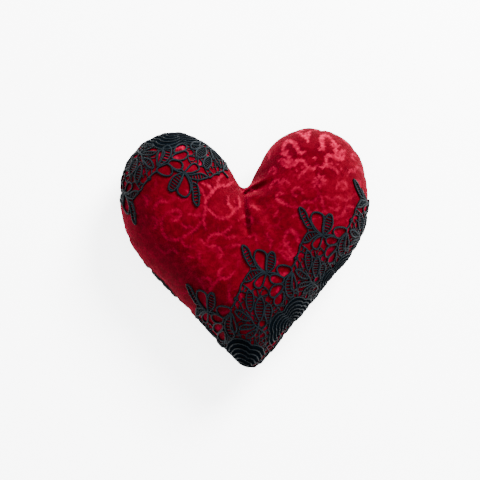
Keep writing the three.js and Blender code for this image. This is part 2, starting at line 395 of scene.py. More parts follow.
def raised(points: Array, seam: Array) -> Array:
    """The cushion's height above the seam as a share of its full height.

    With share d of the full depth, the section is (1 - (1 - d)^f)^(1 / f), where f is the fullness.

    Args:
        points: Points, two columns.
        seam: The seam's points.

    Returns:
        0 at the seam to about 1 in the middle of a lobe.
    """
    deepest = depth_inside(np.array([[-24.8, 21.3], [24.8, 21.3]]), seam).max()
    share = np.clip(depth_inside(points, seam) / deepest, 0, 1)
    return (1 - (1 - share) ** SIZE.fullness) ** (1 / SIZE.fullness)


def resample(grid: Array, rows: int, columns: int, bunching: tuple[float, float]) -> Array:
    """A finer ring grid through the same surface, by Catmull-Rom interpolation both ways.

    A ring at the share t of the way through the list lies at the share 1 - (1 - t)^b from the middle to the seam.

    Args:
        grid: Rings by columns by three.
        rows: New number of rings.
        columns: New number of columns.
        bunching: The exponent b of the old rings and of the new ones.

    Returns:
        The finer grid.
    """

    def weights(t: Array) -> Array:
        return 0.5 * np.stack([-t + 2 * t**2 - t**3, 2 - 5 * t**2 + 3 * t**3, t + 4 * t**2 - 3 * t**3, t**3 - t**2])

    share = 1 - (1 - np.linspace(0, 1, rows)) ** bunching[1]
    place = (1 - (1 - share) ** (1 / bunching[0])) * (grid.shape[0] - 1)
    low = np.clip(np.floor(place).astype(int), 0, grid.shape[0] - 2)
    w = weights(place - low)
    taken = [grid[np.clip(low + k - 1, 0, grid.shape[0] - 1)] for k in range(4)]
    tall = sum(w[k][:, None, None] * taken[k] for k in range(4))
    place = np.arange(columns) * grid.shape[1] / columns
    low = np.floor(place).astype(int)
    w = weights(place - low)
    return sum(w[k][None, :, None] * tall[:, (low + k - 1) % grid.shape[1]] for k in range(4))


@dataclass(frozen=True)
class Crease:
    """A fold in the cloth.

    Attributes:
        path: Its line in plan, from its deepest end.
        width: Half width at which it has faded to a third.
        height: How far it rises at its first end; a valley is negative.
        fade: Exponent with which it dies away along its line.
    """

    path: tuple[tuple[float, float], ...]
    width: float
    height: float
    fade: float = 1.0


FRONT_CREASES = (
    Crease(((-0.5, 33.2), (-0.9, 27.0), (-0.9, 20.0), (-0.2, 12.0), (0.6, 4.0)), 1.8, -7.6, 0.55),
    Crease(((-4.2, 35.6), (-4.0, 27.0), (-3.8, 18.0), (-5.0, 8.0)), 1.5, 1.8, 0.7),
    Crease(((3.4, 27.0), (3.6, 20.0), (5.0, 12.0)), 2.0, 1.0, 0.8),
    Crease(((0.2, 31.8), (5.5, 34.0), (10.0, 36.0), (15.0, 38.6)), 1.2, 2.4, 0.8),
    Crease(((0.8, 29.4), (5.5, 30.8), (10.5, 32.8), (15.5, 35.4)), 1.5, -3.6, 0.8),
    Crease(((4.6, 37.4), (9.0, 40.2), (15.0, 43.4)), 2.0, -1.2, 0.9),
    Crease(((4.0, 26.4), (10.0, 26.2), (15.0, 27.4), (21.0, 30.0)), 1.9, 1.3, 1.0),
    Crease(((3.5, 24.0), (8.0, 20.0), (12.0, 14.0)), 2.0, -1.3, 1.0),
    Crease(((6.0, 15.0), (11.0, 8.0), (16.5, 1.0)), 1.6, 0.9, 0.8),
    Crease(((-6.5, 38.0), (-9.0, 31.0), (-12.5, 23.0)), 1.4, -1.4, 0.9),
    Crease(((-9.5, 41.0), (-13.0, 34.0), (-18.0, 27.0)), 1.8, 1.2, 0.9),
    Crease(((-12.5, 43.0), (-17.0, 37.0), (-24.0, 31.0)), 1.7, -0.9, 0.9),
    Crease(((-5.6, 20.0), (-9.0, 13.0), (-14.0, 6.0)), 2.4, -0.9, 0.9),
    Crease(((0.4, 9.0), (-3.0, 0.0), (-6.0, -12.0)), 3.5, -0.6, 0.8),
)


@dataclass
class Cushion:
    """The swollen heart: two ring grids that share the seam.

    Attributes:
        seam: The seam in plan.
        front: Front surface, rings from the middle to the seam by places along the seam by three.
        back: Back surface, the same way.
        over: How far each place of the front lies over the deepest fold near it.
    """

    seam: Array
    front: Array
    back: Array
    over: Array

    COARSE_RINGS = 34
    COARSE_STEPS = 336
    COARSE_BUNCHING = 1.5
    FINE_RINGS = 112
    FINE_STEPS = 756
    FINE_BUNCHING = 1.2

    @classmethod
    def make(cls) -> "Cushion":
        """Computes, swells, creases and puckers the cushion.

        Returns:
            The finished surface.
        """
        seam = seam_plan(cls.COARSE_STEPS)
        front, back = cls._puffed(seam, 1), cls._puffed(seam, -1)
        front, back = cls._swell(front, back)
        bunching = (cls.COARSE_BUNCHING, cls.FINE_BUNCHING)
        front = resample(front, cls.FINE_RINGS, cls.FINE_STEPS, bunching)
        back = resample(back, cls.FINE_RINGS, cls.FINE_STEPS, bunching)
        cushion = cls(seam_plan(cls.FINE_STEPS), front, back, np.zeros(front.shape[:2]))
        cushion._crease()
        cushion._pucker()
        cushion._settle()
        return cushion

    @classmethod
    def _on_table(cls, z: Array, rounding: float) -> Array:
        """Heights pressed flat where they would reach below the table, rounded over a height."""
        eased = (z + rounding) ** 2 / (4 * rounding)
        return np.where(z <= -rounding, 0.0, np.where(z >= rounding, z, eased))

    @classmethod
    def _puffed(cls, seam: Array, side: int) -> Array:
        """The ring grid of one panel before it is swollen; side is 1 for the front and -1 for the back.

        Ring j lies at the share 1 - (1 - j / n)^b of the way from the middle to the seam, b being the bunching.
        """
        share = 1 - (1 - np.linspace(0, 1, cls.COARSE_RINGS)) ** cls.COARSE_BUNCHING
        middle = np.array(SIZE.heart)
        plan = middle + (seam - middle)[None] * share[:, None, None]
        up = raised(plan.reshape(-1, 2), seam_plan(1200)).reshape(plan.shape[:2])
        up[-1] = 0.0
        reach = SIZE.front_rise if side > 0 else SIZE.back_drop
        z = SIZE.seam_height + side * reach * up
        if side < 0:
            z = cls._on_table(z, SIZE.rest_rounding)
        return np.dstack([plan, z])

    @classmethod
    def _swell(cls, front: Array, back: Array) -> tuple[Array, Array]:
        """Lets the cloth grow and blows it up, held at the seam, so that it takes up natural soft folds.

        Args:
            front: Front ring grid.
            back: Back ring grid.

        Returns:
            Both grids, moved by at most the cap.
        """
        cap, scale, frames = 3.5, 5.0, 22
        rings, steps = front.shape[:2]
        points = np.vstack([front.reshape(-1, 3), back[:-1].reshape(-1, 3)[::1]])
        faces = grid_faces(rings, steps)[:, ::-1]
        under = grid_faces(rings - 1, steps) + rings * steps
        c = np.arange(steps)
        right = (c + 1) % steps
        top_row, low_row = (rings - 1) * steps, rings * steps + (rings - 2) * steps
        join = np.stack([low_row + c, top_row + c, top_row + right, low_row + right], axis=1)
        mesh = bpy.data.meshes.new("swelling")
        mesh.from_pydata((points * MM * scale).tolist(), [], np.vstack([faces, under, join]).tolist())
        mesh.update()
        obj = bpy.data.objects.new("swelling", mesh)
        bpy.context.scene.collection.objects.link(obj)
        held = obj.vertex_groups.new(name="held")
        held.add((top_row + c).tolist(), 1.0, "REPLACE")
        cloth = obj.modifiers.new("Cloth", "CLOTH")
        settings = cloth.settings
        settings.quality = 6
        settings.mass = 0.3
        settings.tension_stiffness = settings.compression_stiffness = 18
        settings.shear_stiffness = 6
        settings.bending_stiffness = 0.6
        settings.air_damping = 3
        settings.use_pressure = True
        settings.uniform_pressure_force = 3.0
        settings.shrink_min = settings.shrink_max = -0.035
        settings.vertex_group_mass = "held"
        settings.effector_weights.gravity = 0.0
        cloth.collision_settings.use_self_collision = False
        cloth.point_cache.frame_start, cloth.point_cache.frame_end = 1, frames
        scene = bpy.context.scene
        for number in range(1, frames + 1):
            scene.frame_set(number)
        shown = obj.evaluated_get(bpy.context.evaluated_depsgraph_get()).data
        moved = np.empty(len(points) * 3, dtype=np.float32)
        shown.vertices.foreach_get("co", moved)
        moved = moved.reshape(-1, 3).astype(float) / (MM * scale)
        bpy.data.objects.remove(obj)
        bpy.data.meshes.remove(mesh)
        scene.frame_set(1)
        change = moved - points
        size = np.linalg.norm(change, axis=1, keepdims=True)
        LOG.info("swelling moved points by %.2f mm at most, %.2f on average", size.max(), size.mean())
        change *= np.tanh(size / cap) * cap / np.maximum(size, 1e-9)
        settled = points + change
        new_front = settled[: rings * steps].reshape(rings, steps, 3)
        new_back = np.concatenate([settled[rings * steps :].reshape(rings - 1, steps, 3), new_front[-1:]])
        new_front[0] = new_front[0].mean(axis=0)
        new_back[0] = new_back[0].mean(axis=0)
        return cls._evened(new_front), cls._evened(new_back)

    @classmethod
    def _evened(cls, grid: Array) -> Array:
        """A ring grid with its smallest waves taken out at the cleft, by weights 1, 2, 1 both ways."""
        share = cls.cleft_share(grid[..., :2].reshape(-1, 2)).reshape(grid.shape[:2])[..., None]
        share[-1] = 0.0
        for _ in range(4):
            even = (np.roll(grid, 1, axis=1) + 2 * grid + np.roll(grid, -1, axis=1)) / 4
            even[1:-1] = (even[:-2] + 2 * even[1:-1] + even[2:]) / 4
            grid = grid + (even - grid) * share
        return grid

    def _crease(self) -> None:
        """Adds the folds that run from the cleft, as bells exp(-(d / w)^2) along their lines.

        A fold sinks no lower than the allowance inside: with h the height over it, the rest is
        (h + sqrt(h^2 + s^2)) / 2.
        """
        flat = self.front[..., 2].copy()
        for crease in FRONT_CREASES:
            path = spline(np.array(crease.path), 1.0)
            away, place = distance_to_path(self.front[..., :2].reshape(-1, 2), path)
            bell = np.exp(-((away / crease.width) ** 2)) * (1 - place) ** crease.fade
            self.front[..., 2] += crease.height * bell.reshape(self.front.shape[:2])
        away = np.linalg.norm(self.front[..., :2] - self.front[-1:, :, :2], axis=2)
        clear = 1 - np.exp(-((away / 2.0) ** 2))
        lowest = SIZE.seam_height + 0.02 + 2.0 * clear
        over = self.front[..., 2] - lowest
        self.front[..., 2] = lowest + (over + np.hypot(over, 0.8 * clear)) / 2
        fold = self.front[..., 2] - flat
        ring = np.arange(len(fold))
        near = [np.roll(fold[np.clip(ring + j, 0, ring[-1])], k, axis=1)
                for j in range(-9, 10, 3) for k in range(-6, 7, 3)]
        self.over = fold - np.min(near, axis=0)

    def _pucker(self) -> None:
        """Gathers the cloth along the seam and lets the outline waver.

        A pucker pulls the surface in by a(s) exp(-d / reach), where s runs along the seam and d is the distance
        from it; the outline moves by a slower wave.
        """
        steps = self.front.shape[1]
        total = np.linalg.norm(self.seam - np.roll(self.seam, -1, axis=0), axis=1).sum()
        s = np.arange(steps) / steps * total
        inward = np.array(SIZE.heart) - self.seam
        inward /= np.linalg.norm(inward, axis=1, keepdims=True)
        waver = wave_noise(s, (total / 14, total / 23, total / 37), 5) * 0.45
        pull = np.maximum(wave_noise(s, (total / 61, total / 44, total / 83), 8) - 0.1, 0) ** 1.3
        square = self.inward()
        cleft = self.cleft_share(self.seam)
        for grid, side, depth, reach in ((self.front, 1, 0.75, 4.5), (self.back, -1, 1.3, 6.5)):
            away = np.linalg.norm(grid - grid[-1:], axis=2)
            near = np.exp(-away / reach) * (1 - np.exp(-((away / 0.8) ** 2)))
            normal = self.normals(grid, side)
            grid -= normal * (near * pull[None] * (1 - 0.8 * cleft)[None] * depth)[..., None]
            slow = np.exp(-away / 16.0) * (waver * (1 - cleft))[None]
            grid[..., :2] -= inward[None] * slow[..., None]
            rim = np.exp(-((away / 1.6) ** 2)) * 0.55 * (1 - cleft)[None]
            grid[..., :2] += inward[None] * rim[..., None]
        low = np.exp(-((((self.seam - np.array([-46.0, -21.0])) / np.array([13.0, 13.0])) ** 2).sum(axis=1)))
        low += 0.8 * np.exp(-((((self.seam - np.array([-16.0, -52.0])) / np.array([16.0, 16.0])) ** 2).sum(axis=1)))
        away = np.linalg.norm(self.back - self.back[-1:], axis=2)
        under = (1 - np.exp(-((away / 1.4) ** 2))) * np.exp(-away / 11.0)
        shown = np.exp(-(((away - 3.2) / 2.6) ** 2))
        self.back[..., :2] += square[None] * (2.6 * under * cleft[None] - 1.9 * shown * low[None])[..., None]

    def inward(self) -> Array:
        """The direction into the cloth at each place of the seam, square to it."""
        along = np.roll(self.seam, -1, axis=0) - np.roll(self.seam, 1, axis=0)
        along /= np.linalg.norm(along, axis=1, keepdims=True)
        return np.stack([-along[:, 1], along[:, 0]], axis=1)

    @staticmethod
    def cleft_share(plan: Array) -> Array:
        """1 at the cleft, fading to 0 on the lobes' tops, for plan points."""
        return np.exp(-((plan[:, 0] / 25.0) ** 6)) * np.clip((plan[:, 1] - 20.0) / 8.0, 0, 1)

    def _settle(self) -> None:
        """Lays the back on the table: heights under 0.15 mm become 0, and those over 1.75 mm stay as they are."""
        z = self.back[..., 2]
        share = np.clip((z - 0.15) / 1.6, 0, 1)
        self.back[..., 2] = np.maximum(z, 0) * share**2 * (3 - 2 * share)

    @staticmethod
    def normals(grid: Array, side: int) -> Array:
        """Unit normals of a ring grid, outwards for its side and upright at its middle."""
        across = np.gradient(grid, axis=0)
        along = np.roll(grid, -1, axis=1) - np.roll(grid, 1, axis=1)
        normal = np.cross(across, along) * side
        normal /= np.maximum(np.linalg.norm(normal, axis=2, keepdims=True), 1e-9)
        normal[:3] = (0.0, 0.0, side)
        return normal


class FrontMap:
    """Finds heights, points and normals of the cushion's front from places in plan."""

    def __init__(self, cushion: Cushion) -> None:
        """Takes the front's ring grid.

        Args:
            cushion: The finished cushion.
        """
        self.grid = cushion.front
        self.normal = Cushion.normals(self.grid, 1)
        self.middle = np.array(SIZE.heart)
        rim = self.grid[-1, :, :2] - self.middle
        self.rim_angle = np.unwrap(np.arctan2(rim[:, 1], rim[:, 0]))
        self.rim_radius = np.linalg.norm(rim, axis=1)

    def _column(self, plan: Array) -> tuple[Array, Array]:
        """The seam place, in columns, and the seam's radius in the direction of each plan point."""
        ray = plan - self.middle
        angle = np.arctan2(ray[:, 1], ray[:, 0])
        start = self.rim_angle[0]
        angle = start + np.mod(angle - start, 2 * np.pi)
        known = np.append(self.rim_angle, start + 2 * np.pi)
        column = np.interp(angle, known, np.arange(len(known), dtype=float))
        radius = np.interp(angle, known, np.append(self.rim_radius, self.rim_radius[0]))
        return column, radius

    def inside(self, plan: Array) -> Array:
        """How far plan points lie within the seam along their ray, in millimetres."""
        _, radius = self._column(plan)
        return radius - np.linalg.norm(plan - self.middle, axis=1)

    def _take(self, source: Array, ring: Array, column: Array) -> Array:
        """Bilinear look-up in a ring grid."""
        rings, steps = source.shape[:2]
        r0 = np.clip(np.floor(ring).astype(int), 0, rings - 2)
        c0 = np.floor(column).astype(int)
        fr, fc = (ring - r0)[:, None], (column - c0)[:, None]
        a, b = source[r0, c0 % steps], source[r0, (c0 + 1) % steps]
        c, d = source[r0 + 1, c0 % steps], source[r0 + 1, (c0 + 1) % steps]
        return (a * (1 - fc) + b * fc) * (1 - fr) + (c * (1 - fc) + d * fc) * fr

    def locate(self, plan: Array) -> tuple[Array, Array]:
        """Ring and column of the surface point above each plan point.

        The guess is corrected six times by the plan error it leaves.

        Args:
            plan: Points, two columns.

        Returns:
            Ring and column, as floats.
        """
        rings = self.grid.shape[0]
        aim = plan.copy()
        for _ in range(6):
            column, radius = self._column(aim)
            share = np.clip(np.linalg.norm(aim - self.middle, axis=1) / radius, 0, 1)
            ring = (1 - (1 - share) ** (1 / Cushion.FINE_BUNCHING)) * (rings - 1)
            aim = aim + 0.85 * (plan - self._take(self.grid, ring, column)[:, :2])
        return ring, column

    def point(self, plan: Array) -> tuple[Array, Array]:
        """Surface points and normals above plan points.

        Args:
            plan: Points, two columns.

        Returns:
            Points and unit normals, three columns each.
        """
        ring, column = self.locate(plan)
        normal = self._take(self.normal, ring, column)
        normal /= np.linalg.norm(normal, axis=1, keepdims=True)
        return self._take(self.grid, ring, column), normal


# ---------------------------------------------------------------------------------------------------------------------
# The velvet's figure
# ---------------------------------------------------------------------------------------------------------------------
@dataclass(frozen=True)
class Stroke:
    """A stroke of the damask figure, in millimetres from the figure's axis and middle.

    Attributes:
        path: Its line; a single point makes a dot.
        width: Its half width.
    """

    path: tuple[tuple[float, float], ...]
    width: float = 0.75


CROWN_STROKES = (
    Stroke(((0.0, 1.2), (0.0, 3.8)), 0.55),
    Stroke(((1.1, 0.8), (2.8, 2.6)), 0.55),
    Stroke(((1.2, 0.0), (3.8, 0.0)), 0.55),
    Stroke(((1.1, -0.8), (2.8, -2.6)), 0.55),
    Stroke(((0.0, -1.2), (0.0, -3.8)), 0.55),
    Stroke(((0.0, 9.2), (1.5, 7.4), (3.1, 7.1), (4.8, 8.8), (6.3, 7.3), (8.4, 6.4), (10.4, 4.6), (10.8, 2.8)), 0.6),
    Stroke(((0.0, 12.5), (0.0, 12.7)), 1.1),
    Stroke(((5.9, 10.2), (5.8, 11.7), (7.3, 13.1), (10.0, 12.9), (13.1, 11.0), (15.9, 11.0), (17.8, 13.5)), 0.85),
    Stroke(((14.2, 11.2), (15.2, 14.2), (17.5, 15.4)), 0.7),
    Stroke(((11.9, 12.3), (13.2, 14.7), (13.8, 16.7)), 0.65),
    Stroke(((7.9, 9.0), (8.0, 9.1)), 0.75),
    Stroke(((11.2, 8.0), (11.3, 8.1)), 0.8),
    Stroke(((12.8, 5.2), (12.9, 5.3)), 0.7),
    Stroke(((4.2, 17.2), (6.3, 17.2), (7.1, 19.9), (7.6, 23.2), (9.6, 25.4), (12.1, 24.5), (13.9, 21.7)), 0.9),
    Stroke(((13.9, 21.7), (14.6, 19.1), (13.7, 18.0), (12.3, 19.7)), 0.7),
    Stroke(((12.2, 15.7), (14.5, 17.5), (16.7, 18.8)), 0.5),
    Stroke(((18.8, 14.9), (18.8, 15.0)), 0.8),
    Stroke(((0.0, 22.6), (0.0, 28.4)), 0.65),
    Stroke(((0.5, 24.8), (2.5, 29.1), (4.4, 30.1)), 0.6),
    Stroke(((9.0, -5.0), (10.4, -2.4), (13.0, -1.6), (14.8, -3.4), (14.0, -5.8), (12.2, -5.6)), 0.55),
    Stroke(((16.0, 1.2), (18.2, 3.8), (20.2, 2.2), (22.2, 4.6), (24.6, 3.4), (26.0, 0.6)), 0.6),
    Stroke(((23.0, 8.4), (21.7, 10.2), (22.9, 12.3), (25.4, 10.4)), 0.55),
    Stroke(((2.4, -8.6), (5.4, -10.6), (9.2, -9.6), (12.0, -11.8), (16.0, -11.8)), 0.55),
    Stroke(((16.0, -11.8), (20.4, -9.4), (23.4, -6.0), (22.2, -3.0), (19.8, -4.2)), 0.6),
    Stroke(((0.0, -8.0), (0.0, -16.0)), 0.5),
    Stroke(((3.6, -14.8), (6.8, -16.4), (8.8, -14.6), (7.4, -13.0)), 0.55),
    Stroke(((0.2, -16.0), (4.2, -20.2), (9.4, -19.4), (13.2, -15.8), (18.0, -17.2), (20.0, -21.0)), 0.6),
    Stroke(((11.0, -23.0), (15.6, -22.0), (19.6, -24.2)), 0.6),
    Stroke(((24.6, -12.0), (26.4, -15.4), (25.0, -19.0)), 0.6),
    Stroke(((24.0, -23.6), (24.1, -23.7)), 0.9),
    Stroke(((23.0, 18.3), (21.2, 22.3), (22.7, 26.7)), 0.55),
)
TREE_STROKES = (
    Stroke(((0.3, 13.4), (-0.2, 6.0), (-1.1, 1.0), (0.3, -4.2)), 0.6),
    Stroke(((-1.6, 0.4), (-6.2, -5.4), (-13.6, -9.3), (-20.1, -8.2), (-22.9, -3.5), (-23.2, 2.1), (-20.6, 5.2)), 0.6),
    Stroke(((-5.6, -4.8), (-7.8, -3.4), (-10.4, -3.6), (-12.4, -1.6)), 0.52),
    Stroke(((-13.0, -9.3), (-11.0, -13.2), (-7.6, -14.4)), 0.47),
    Stroke(((-8.4, 3.2), (-8.5, 3.3)), 0.95),
    Stroke(((-8.4, 3.2), (-4.6, 2.4), (-1.2, 3.4)), 0.47),
    Stroke(((-18.4, 5.6), (-14.8, 6.4), (-13.2, 3.4), (-15.8, 0.8), (-18.4, 1.8)), 0.6),
    Stroke(((-27.4, -3.8), (-25.8, 0.6), (-28.6, 3.4)), 0.52),
    Stroke(((-28.4, 6.8), (-24.2, 11.4), (-19.0, 10.6)), 0.52),
    Stroke(((-15.0, 12.6), (-11.0, 11.6), (-8.6, 14.2), (-10.8, 16.4)), 0.47),
    Stroke(((-6.0, 19.8), (-2.6, 17.2), (-0.4, 13.4)), 0.52),
    Stroke(((0.6, 12.0), (3.4, 16.2), (6.8, 20.6), (10.6, 20.6), (14.2, 24.0)), 0.65),
    Stroke(((3.2, 16.2), (1.4, 19.8), (-2.4, 20.4)), 0.56),
    Stroke(((6.4, 20.2), (5.8, 24.0), (8.4, 26.8)), 0.52),
    Stroke(((1.2, 7.0), (6.4, 2.8), (12.0, 3.0), (15.2, 6.6)), 0.6),
    Stroke(((12.2, 14.6), (12.5, 9.8), (15.5, 7.2), (18.4, 9.8), (18.1, 14.8)), 0.6),
    Stroke(((15.4, 11.4), (15.5, 11.5)), 0.6),
    Stroke(((1.0, -10.0), (4.0, -6.4), (9.6, -5.6), (13.8, -1.8)), 0.6),
    Stroke(((9.0, -5.6), (12.4, -8.2), (16.6, -7.0)), 0.52),
    Stroke(((17.6, 1.2), (20.6, 4.2), (24.4, 2.4), (23.2, -1.0), (20.8, 0.2)), 0.6),
    Stroke(((21.4, 8.4), (25.0, 9.8), (28.0, 7.4)), 0.52),
    Stroke(((-2.6, -9.4), (0.8, -12.6), (5.4, -12.4), (8.2, -15.8), (6.4, -18.8)), 0.52),
    Stroke(((12.6, -13.4), (16.8, -11.8), (20.6, -14.2), (19.4, -17.4)), 0.56),
    Stroke(((22.4, -7.6), (26.4, -6.0), (27.2, -10.6)), 0.52),
    Stroke(((-26.0, -12.8), (-22.0, -15.6), (-17.4, -14.2), (-15.0, -17.6)), 0.52),
    Stroke(((-9.8, -18.8), (-5.2, -20.8), (-3.6, -17.4)), 0.52),
    Stroke(((-20.6, -21.0), (-16.0, -22.8), (-12.4, -21.4)), 0.52),
    Stroke(((11.6, -21.6), (16.4, -22.8), (22.0, -20.4)), 0.52),
    Stroke(((19.4, 18.6), (23.6, 20.8), (27.2, 18.2)), 0.52),
)
CROWN_AXIS, TREE_AXIS = (38.6, 34.2), (-21.3, 12.0)
CROWN_LEAN = math.radians(11.0)
DAMASK_REPEAT = (2 * (CROWN_AXIS[0] - TREE_AXIS[0]), 50.0)


def damask(plan: Array) -> Array:
    """How much of the velvet's raised figure lies at each plan point, from 0 to 1.

    Columns of crowns, mirrored about their axis, and of trees stand side by side; the edges are frayed.

    Args:
        plan: Points, two columns.

    Returns:
        The figure's share.
    """
    wide, tall = DAMASK_REPEAT
    x, y = plan[:, 0], plan[:, 1]
    bent = np.stack([
        x + 0.6 * np.sin(y / 9.0) + 0.35 * np.sin(y / 4.1 + 1.0) + 0.16 * np.sin(y * 4.7 + x * 2.3),
        y + 0.6 * np.sin(x / 8.0 + 2.0) + 0.35 * np.sin(x / 3.7) + 0.16 * np.sin(x * 4.3 - y * 2.9)], axis=1)
    bent += 0.28 * np.stack([np.sin(2.6 * y + 1.7 * x), np.sin(2.9 * x - 1.5 * y + 1.0)], axis=1)
    best = np.zeros(len(plan))
    for axis, strokes, mirrored in ((CROWN_AXIS, CROWN_STROKES, True), (TREE_AXIS, TREE_STROKES, False)):
        off = bent - np.array(axis)
        off[:, 0] = np.mod(off[:, 0] + wide / 2, wide) - wide / 2
        off[:, 1] = np.mod(off[:, 1] + tall * 0.4, tall) - tall * 0.4
        if mirrored:
            c, s = math.cos(CROWN_LEAN), math.sin(CROWN_LEAN)
            off = off @ np.array([[c, -s], [s, c]])
            off[:, 0] = np.abs(off[:, 0])
        near = np.flatnonzero(np.abs(off[:, 0]) < wide / 4)
        place = off[near]
        for stroke in strokes:
            path = np.array(stroke.path)
            line = spline(path, 0.8) if len(path) > 2 else path
            away, along = distance_to_path(place, line)
            width = stroke.width * (0.7 + 0.6 * np.sin(np.pi * along))
            best[near] = np.maximum(best[near], np.clip((width - away) / 0.7 + 0.5, 0, 1))
    return best


# ---------------------------------------------------------------------------------------------------------------------
# The lace's drawing
# ---------------------------------------------------------------------------------------------------------------------
@dataclass(frozen=True)
class Leaf:
    """A closed cell of the lace outlined by a cord.

    Attributes:
        edge: Its corners, from the foot round to the foot, in millimetres along and across the lace.
        tip: Its tip, if bars cross it; they stand square to the line from foot to tip.
        pitch: From one bar to the next.
    """

    edge: tuple[tuple[float, float], ...]
    tip: tuple[float, float] | None = None
    pitch: float = 1.9


SPEAR = Leaf(
    ((-3.1, 6.4), (-5.3, 8.0), (-5.4, 10.0), (-5.1, 13.0), (-4.3, 16.0), (-2.6, 19.2), (-1.1, 17.0), (-1.2, 14.2),
     (-1.9, 12.0), (-2.1, 9.2)), (-2.6, 19.2), 2.1)
PETAL_UP = Leaf(
    ((0.0, 0.3), (-1.3, 3.0), (-1.8, 7.0), (-1.0, 10.4), (1.6, 12.7), (3.8, 12.4), (5.8, 10.2), (5.9, 8.0), (4.0, 5.6),
     (2.0, 3.4), (0.8, 1.5)))
LEAVES = (
    SPEAR,
    PETAL_UP,
    Leaf(((0.4, -0.2), (1.6, 2.2), (4.2, 5.2), (6.6, 7.2), (9.3, 7.9), (10.3, 6.4), (9.4, 4.2), (7.4, 1.7), (5.2, 0.4),
          (2.8, 0.0)), (9.9, 7.6), 2.0),
    Leaf(((-0.8, 1.4), (-2.0, 3.3), (-4.4, 4.6), (-7.0, 5.5), (-10.0, 4.5), (-12.8, 3.0), (-9.6, 1.5), (-6.4, 1.8),
          (-3.2, 1.9)), (-12.8, 3.0), 2.0),
    Leaf(((-0.6, -0.1), (-2.6, 0.7), (-5.2, 0.7), (-8.4, -0.5), (-9.3, -2.2), (-8.5, -4.0), (-6.9, -4.6), (-4.8, -3.6),
          (-2.6, -1.9))),
    Leaf(((5.6, -4.0), (6.1, -1.6), (7.9, -0.5), (10.2, -1.1), (12.4, -2.8), (13.9, -4.9), (12.9, -6.6), (9.8, -7.2),
          (7.4, -7.3), (6.0, -6.0))),
    Leaf(((0.0, -6.8), (-0.7, -4.8), (0.0, -3.0), (1.4, -2.3), (3.6, -2.9), (5.4, -4.8), (6.8, -7.4), (4.6, -8.9),
          (1.6, -7.9))),
    Leaf(((-3.8, -8.6), (-2.0, -7.6), (0.6, -7.7), (2.9, -8.8), (4.0, -10.0), (3.4, -11.2), (1.4, -12.2),
          (-1.2, -12.7), (-4.0, -13.0), (-5.3, -11.5), (-4.9, -9.7))),
    Leaf(((-5.6, -15.2), (-4.1, -13.6), (-1.2, -13.0), (1.2, -12.9), (2.1, -13.6), (1.3, -15.2), (0.0, -17.0),
          (-2.0, -18.6), (-4.3, -18.3), (-5.7, -17.0))),
    Leaf(((12.8, -7.5), (10.0, -8.0), (7.2, -9.0), (4.9, -11.0), (3.5, -13.6), (3.0, -16.2), (3.5, -18.4), (5.0, -19.2),
          (6.8, -18.4), (7.6, -16.4), (8.6, -14.0), (10.2, -11.0), (11.8, -9.0)), (5.0, -19.2), 2.3),
    Leaf(((12.9, -7.6), (12.3, -11.0), (11.3, -14.0), (10.2, -16.3), (8.4, -16.9), (7.1, -15.6), (7.4, -13.8),
          (9.2, -11.6), (11.0, -9.4))),
    Leaf(((20.2, -15.6), (18.6, -15.6), (16.4, -13.8), (15.2, -11.0), (15.1, -8.4), (15.4, -7.3), (17.0, -7.9),
          (18.4, -10.0), (19.4, -13.0)), (15.3, -7.3), 2.0),
    Leaf(((21.9, -11.5), (22.0, -9.6), (23.2, -6.4), (25.2, -3.8), (27.6, -2.0), (28.5, -4.2), (27.8, -6.8),
          (26.2, -9.2), (23.4, -11.6)), (27.7, -2.0), 2.0),
    Leaf(((23.6, -19.0), (24.0, -14.4), (26.0, -10.9), (29.0, -9.0), (31.4, -8.8), (31.2, -10.6), (30.4, -13.2),
          (28.0, -16.2), (25.6, -18.6)), (31.4, -8.8), 2.0),
    Leaf(((26.2, -23.2), (27.8, -17.4), (30.2, -14.6), (32.4, -14.3), (33.0, -15.8), (32.2, -18.4), (29.4, -21.8),
          (27.4, -23.2)), (33.0, -15.0), 2.0),
    Leaf(((20.0, -19.3), (18.0, -18.2), (15.8, -16.5), (13.2, -15.9), (11.8, -17.0), (13.2, -18.0), (15.2, -19.1),
          (17.4, -20.2), (19.2, -20.2)), (11.8, -17.0), 1.9),
    Leaf(((20.2, -22.4), (18.4, -21.9), (16.0, -21.6), (13.8, -21.5), (12.2, -22.6), (13.6, -24.0), (16.0, -24.3),
          (18.2, -23.4)), (12.2, -22.6), 1.9),
)
STEMS = (
    ((-2.8, 6.8), (-2.6, 4.4), (-1.5, 1.5), (0.0, -0.4)),
    ((0.0, 0.8), (1.2, -0.6), (3.0, -1.6), (5.6, -4.0)),
    ((-0.6, 0.2), (0.2, -1.4), (0.6, -2.6)),
    ((-12.8, 3.0), (-14.8, 2.4), (-17.5, 0.0), (-20.3, -1.5), (-21.5, -2.3)),
    ((13.9, -4.9), (16.0, -4.4), (18.8, -3.0), (20.2, -2.3)),
    ((20.2, -10.8), (20.3, -15.6), (20.1, -20.0), (21.4, -24.0), (22.4, -28.0)),
    ((23.6, -19.0), (21.6, -20.6), (20.6, -22.4)),
    ((26.2, -23.2), (24.0, -24.0), (21.6, -24.4)),
)
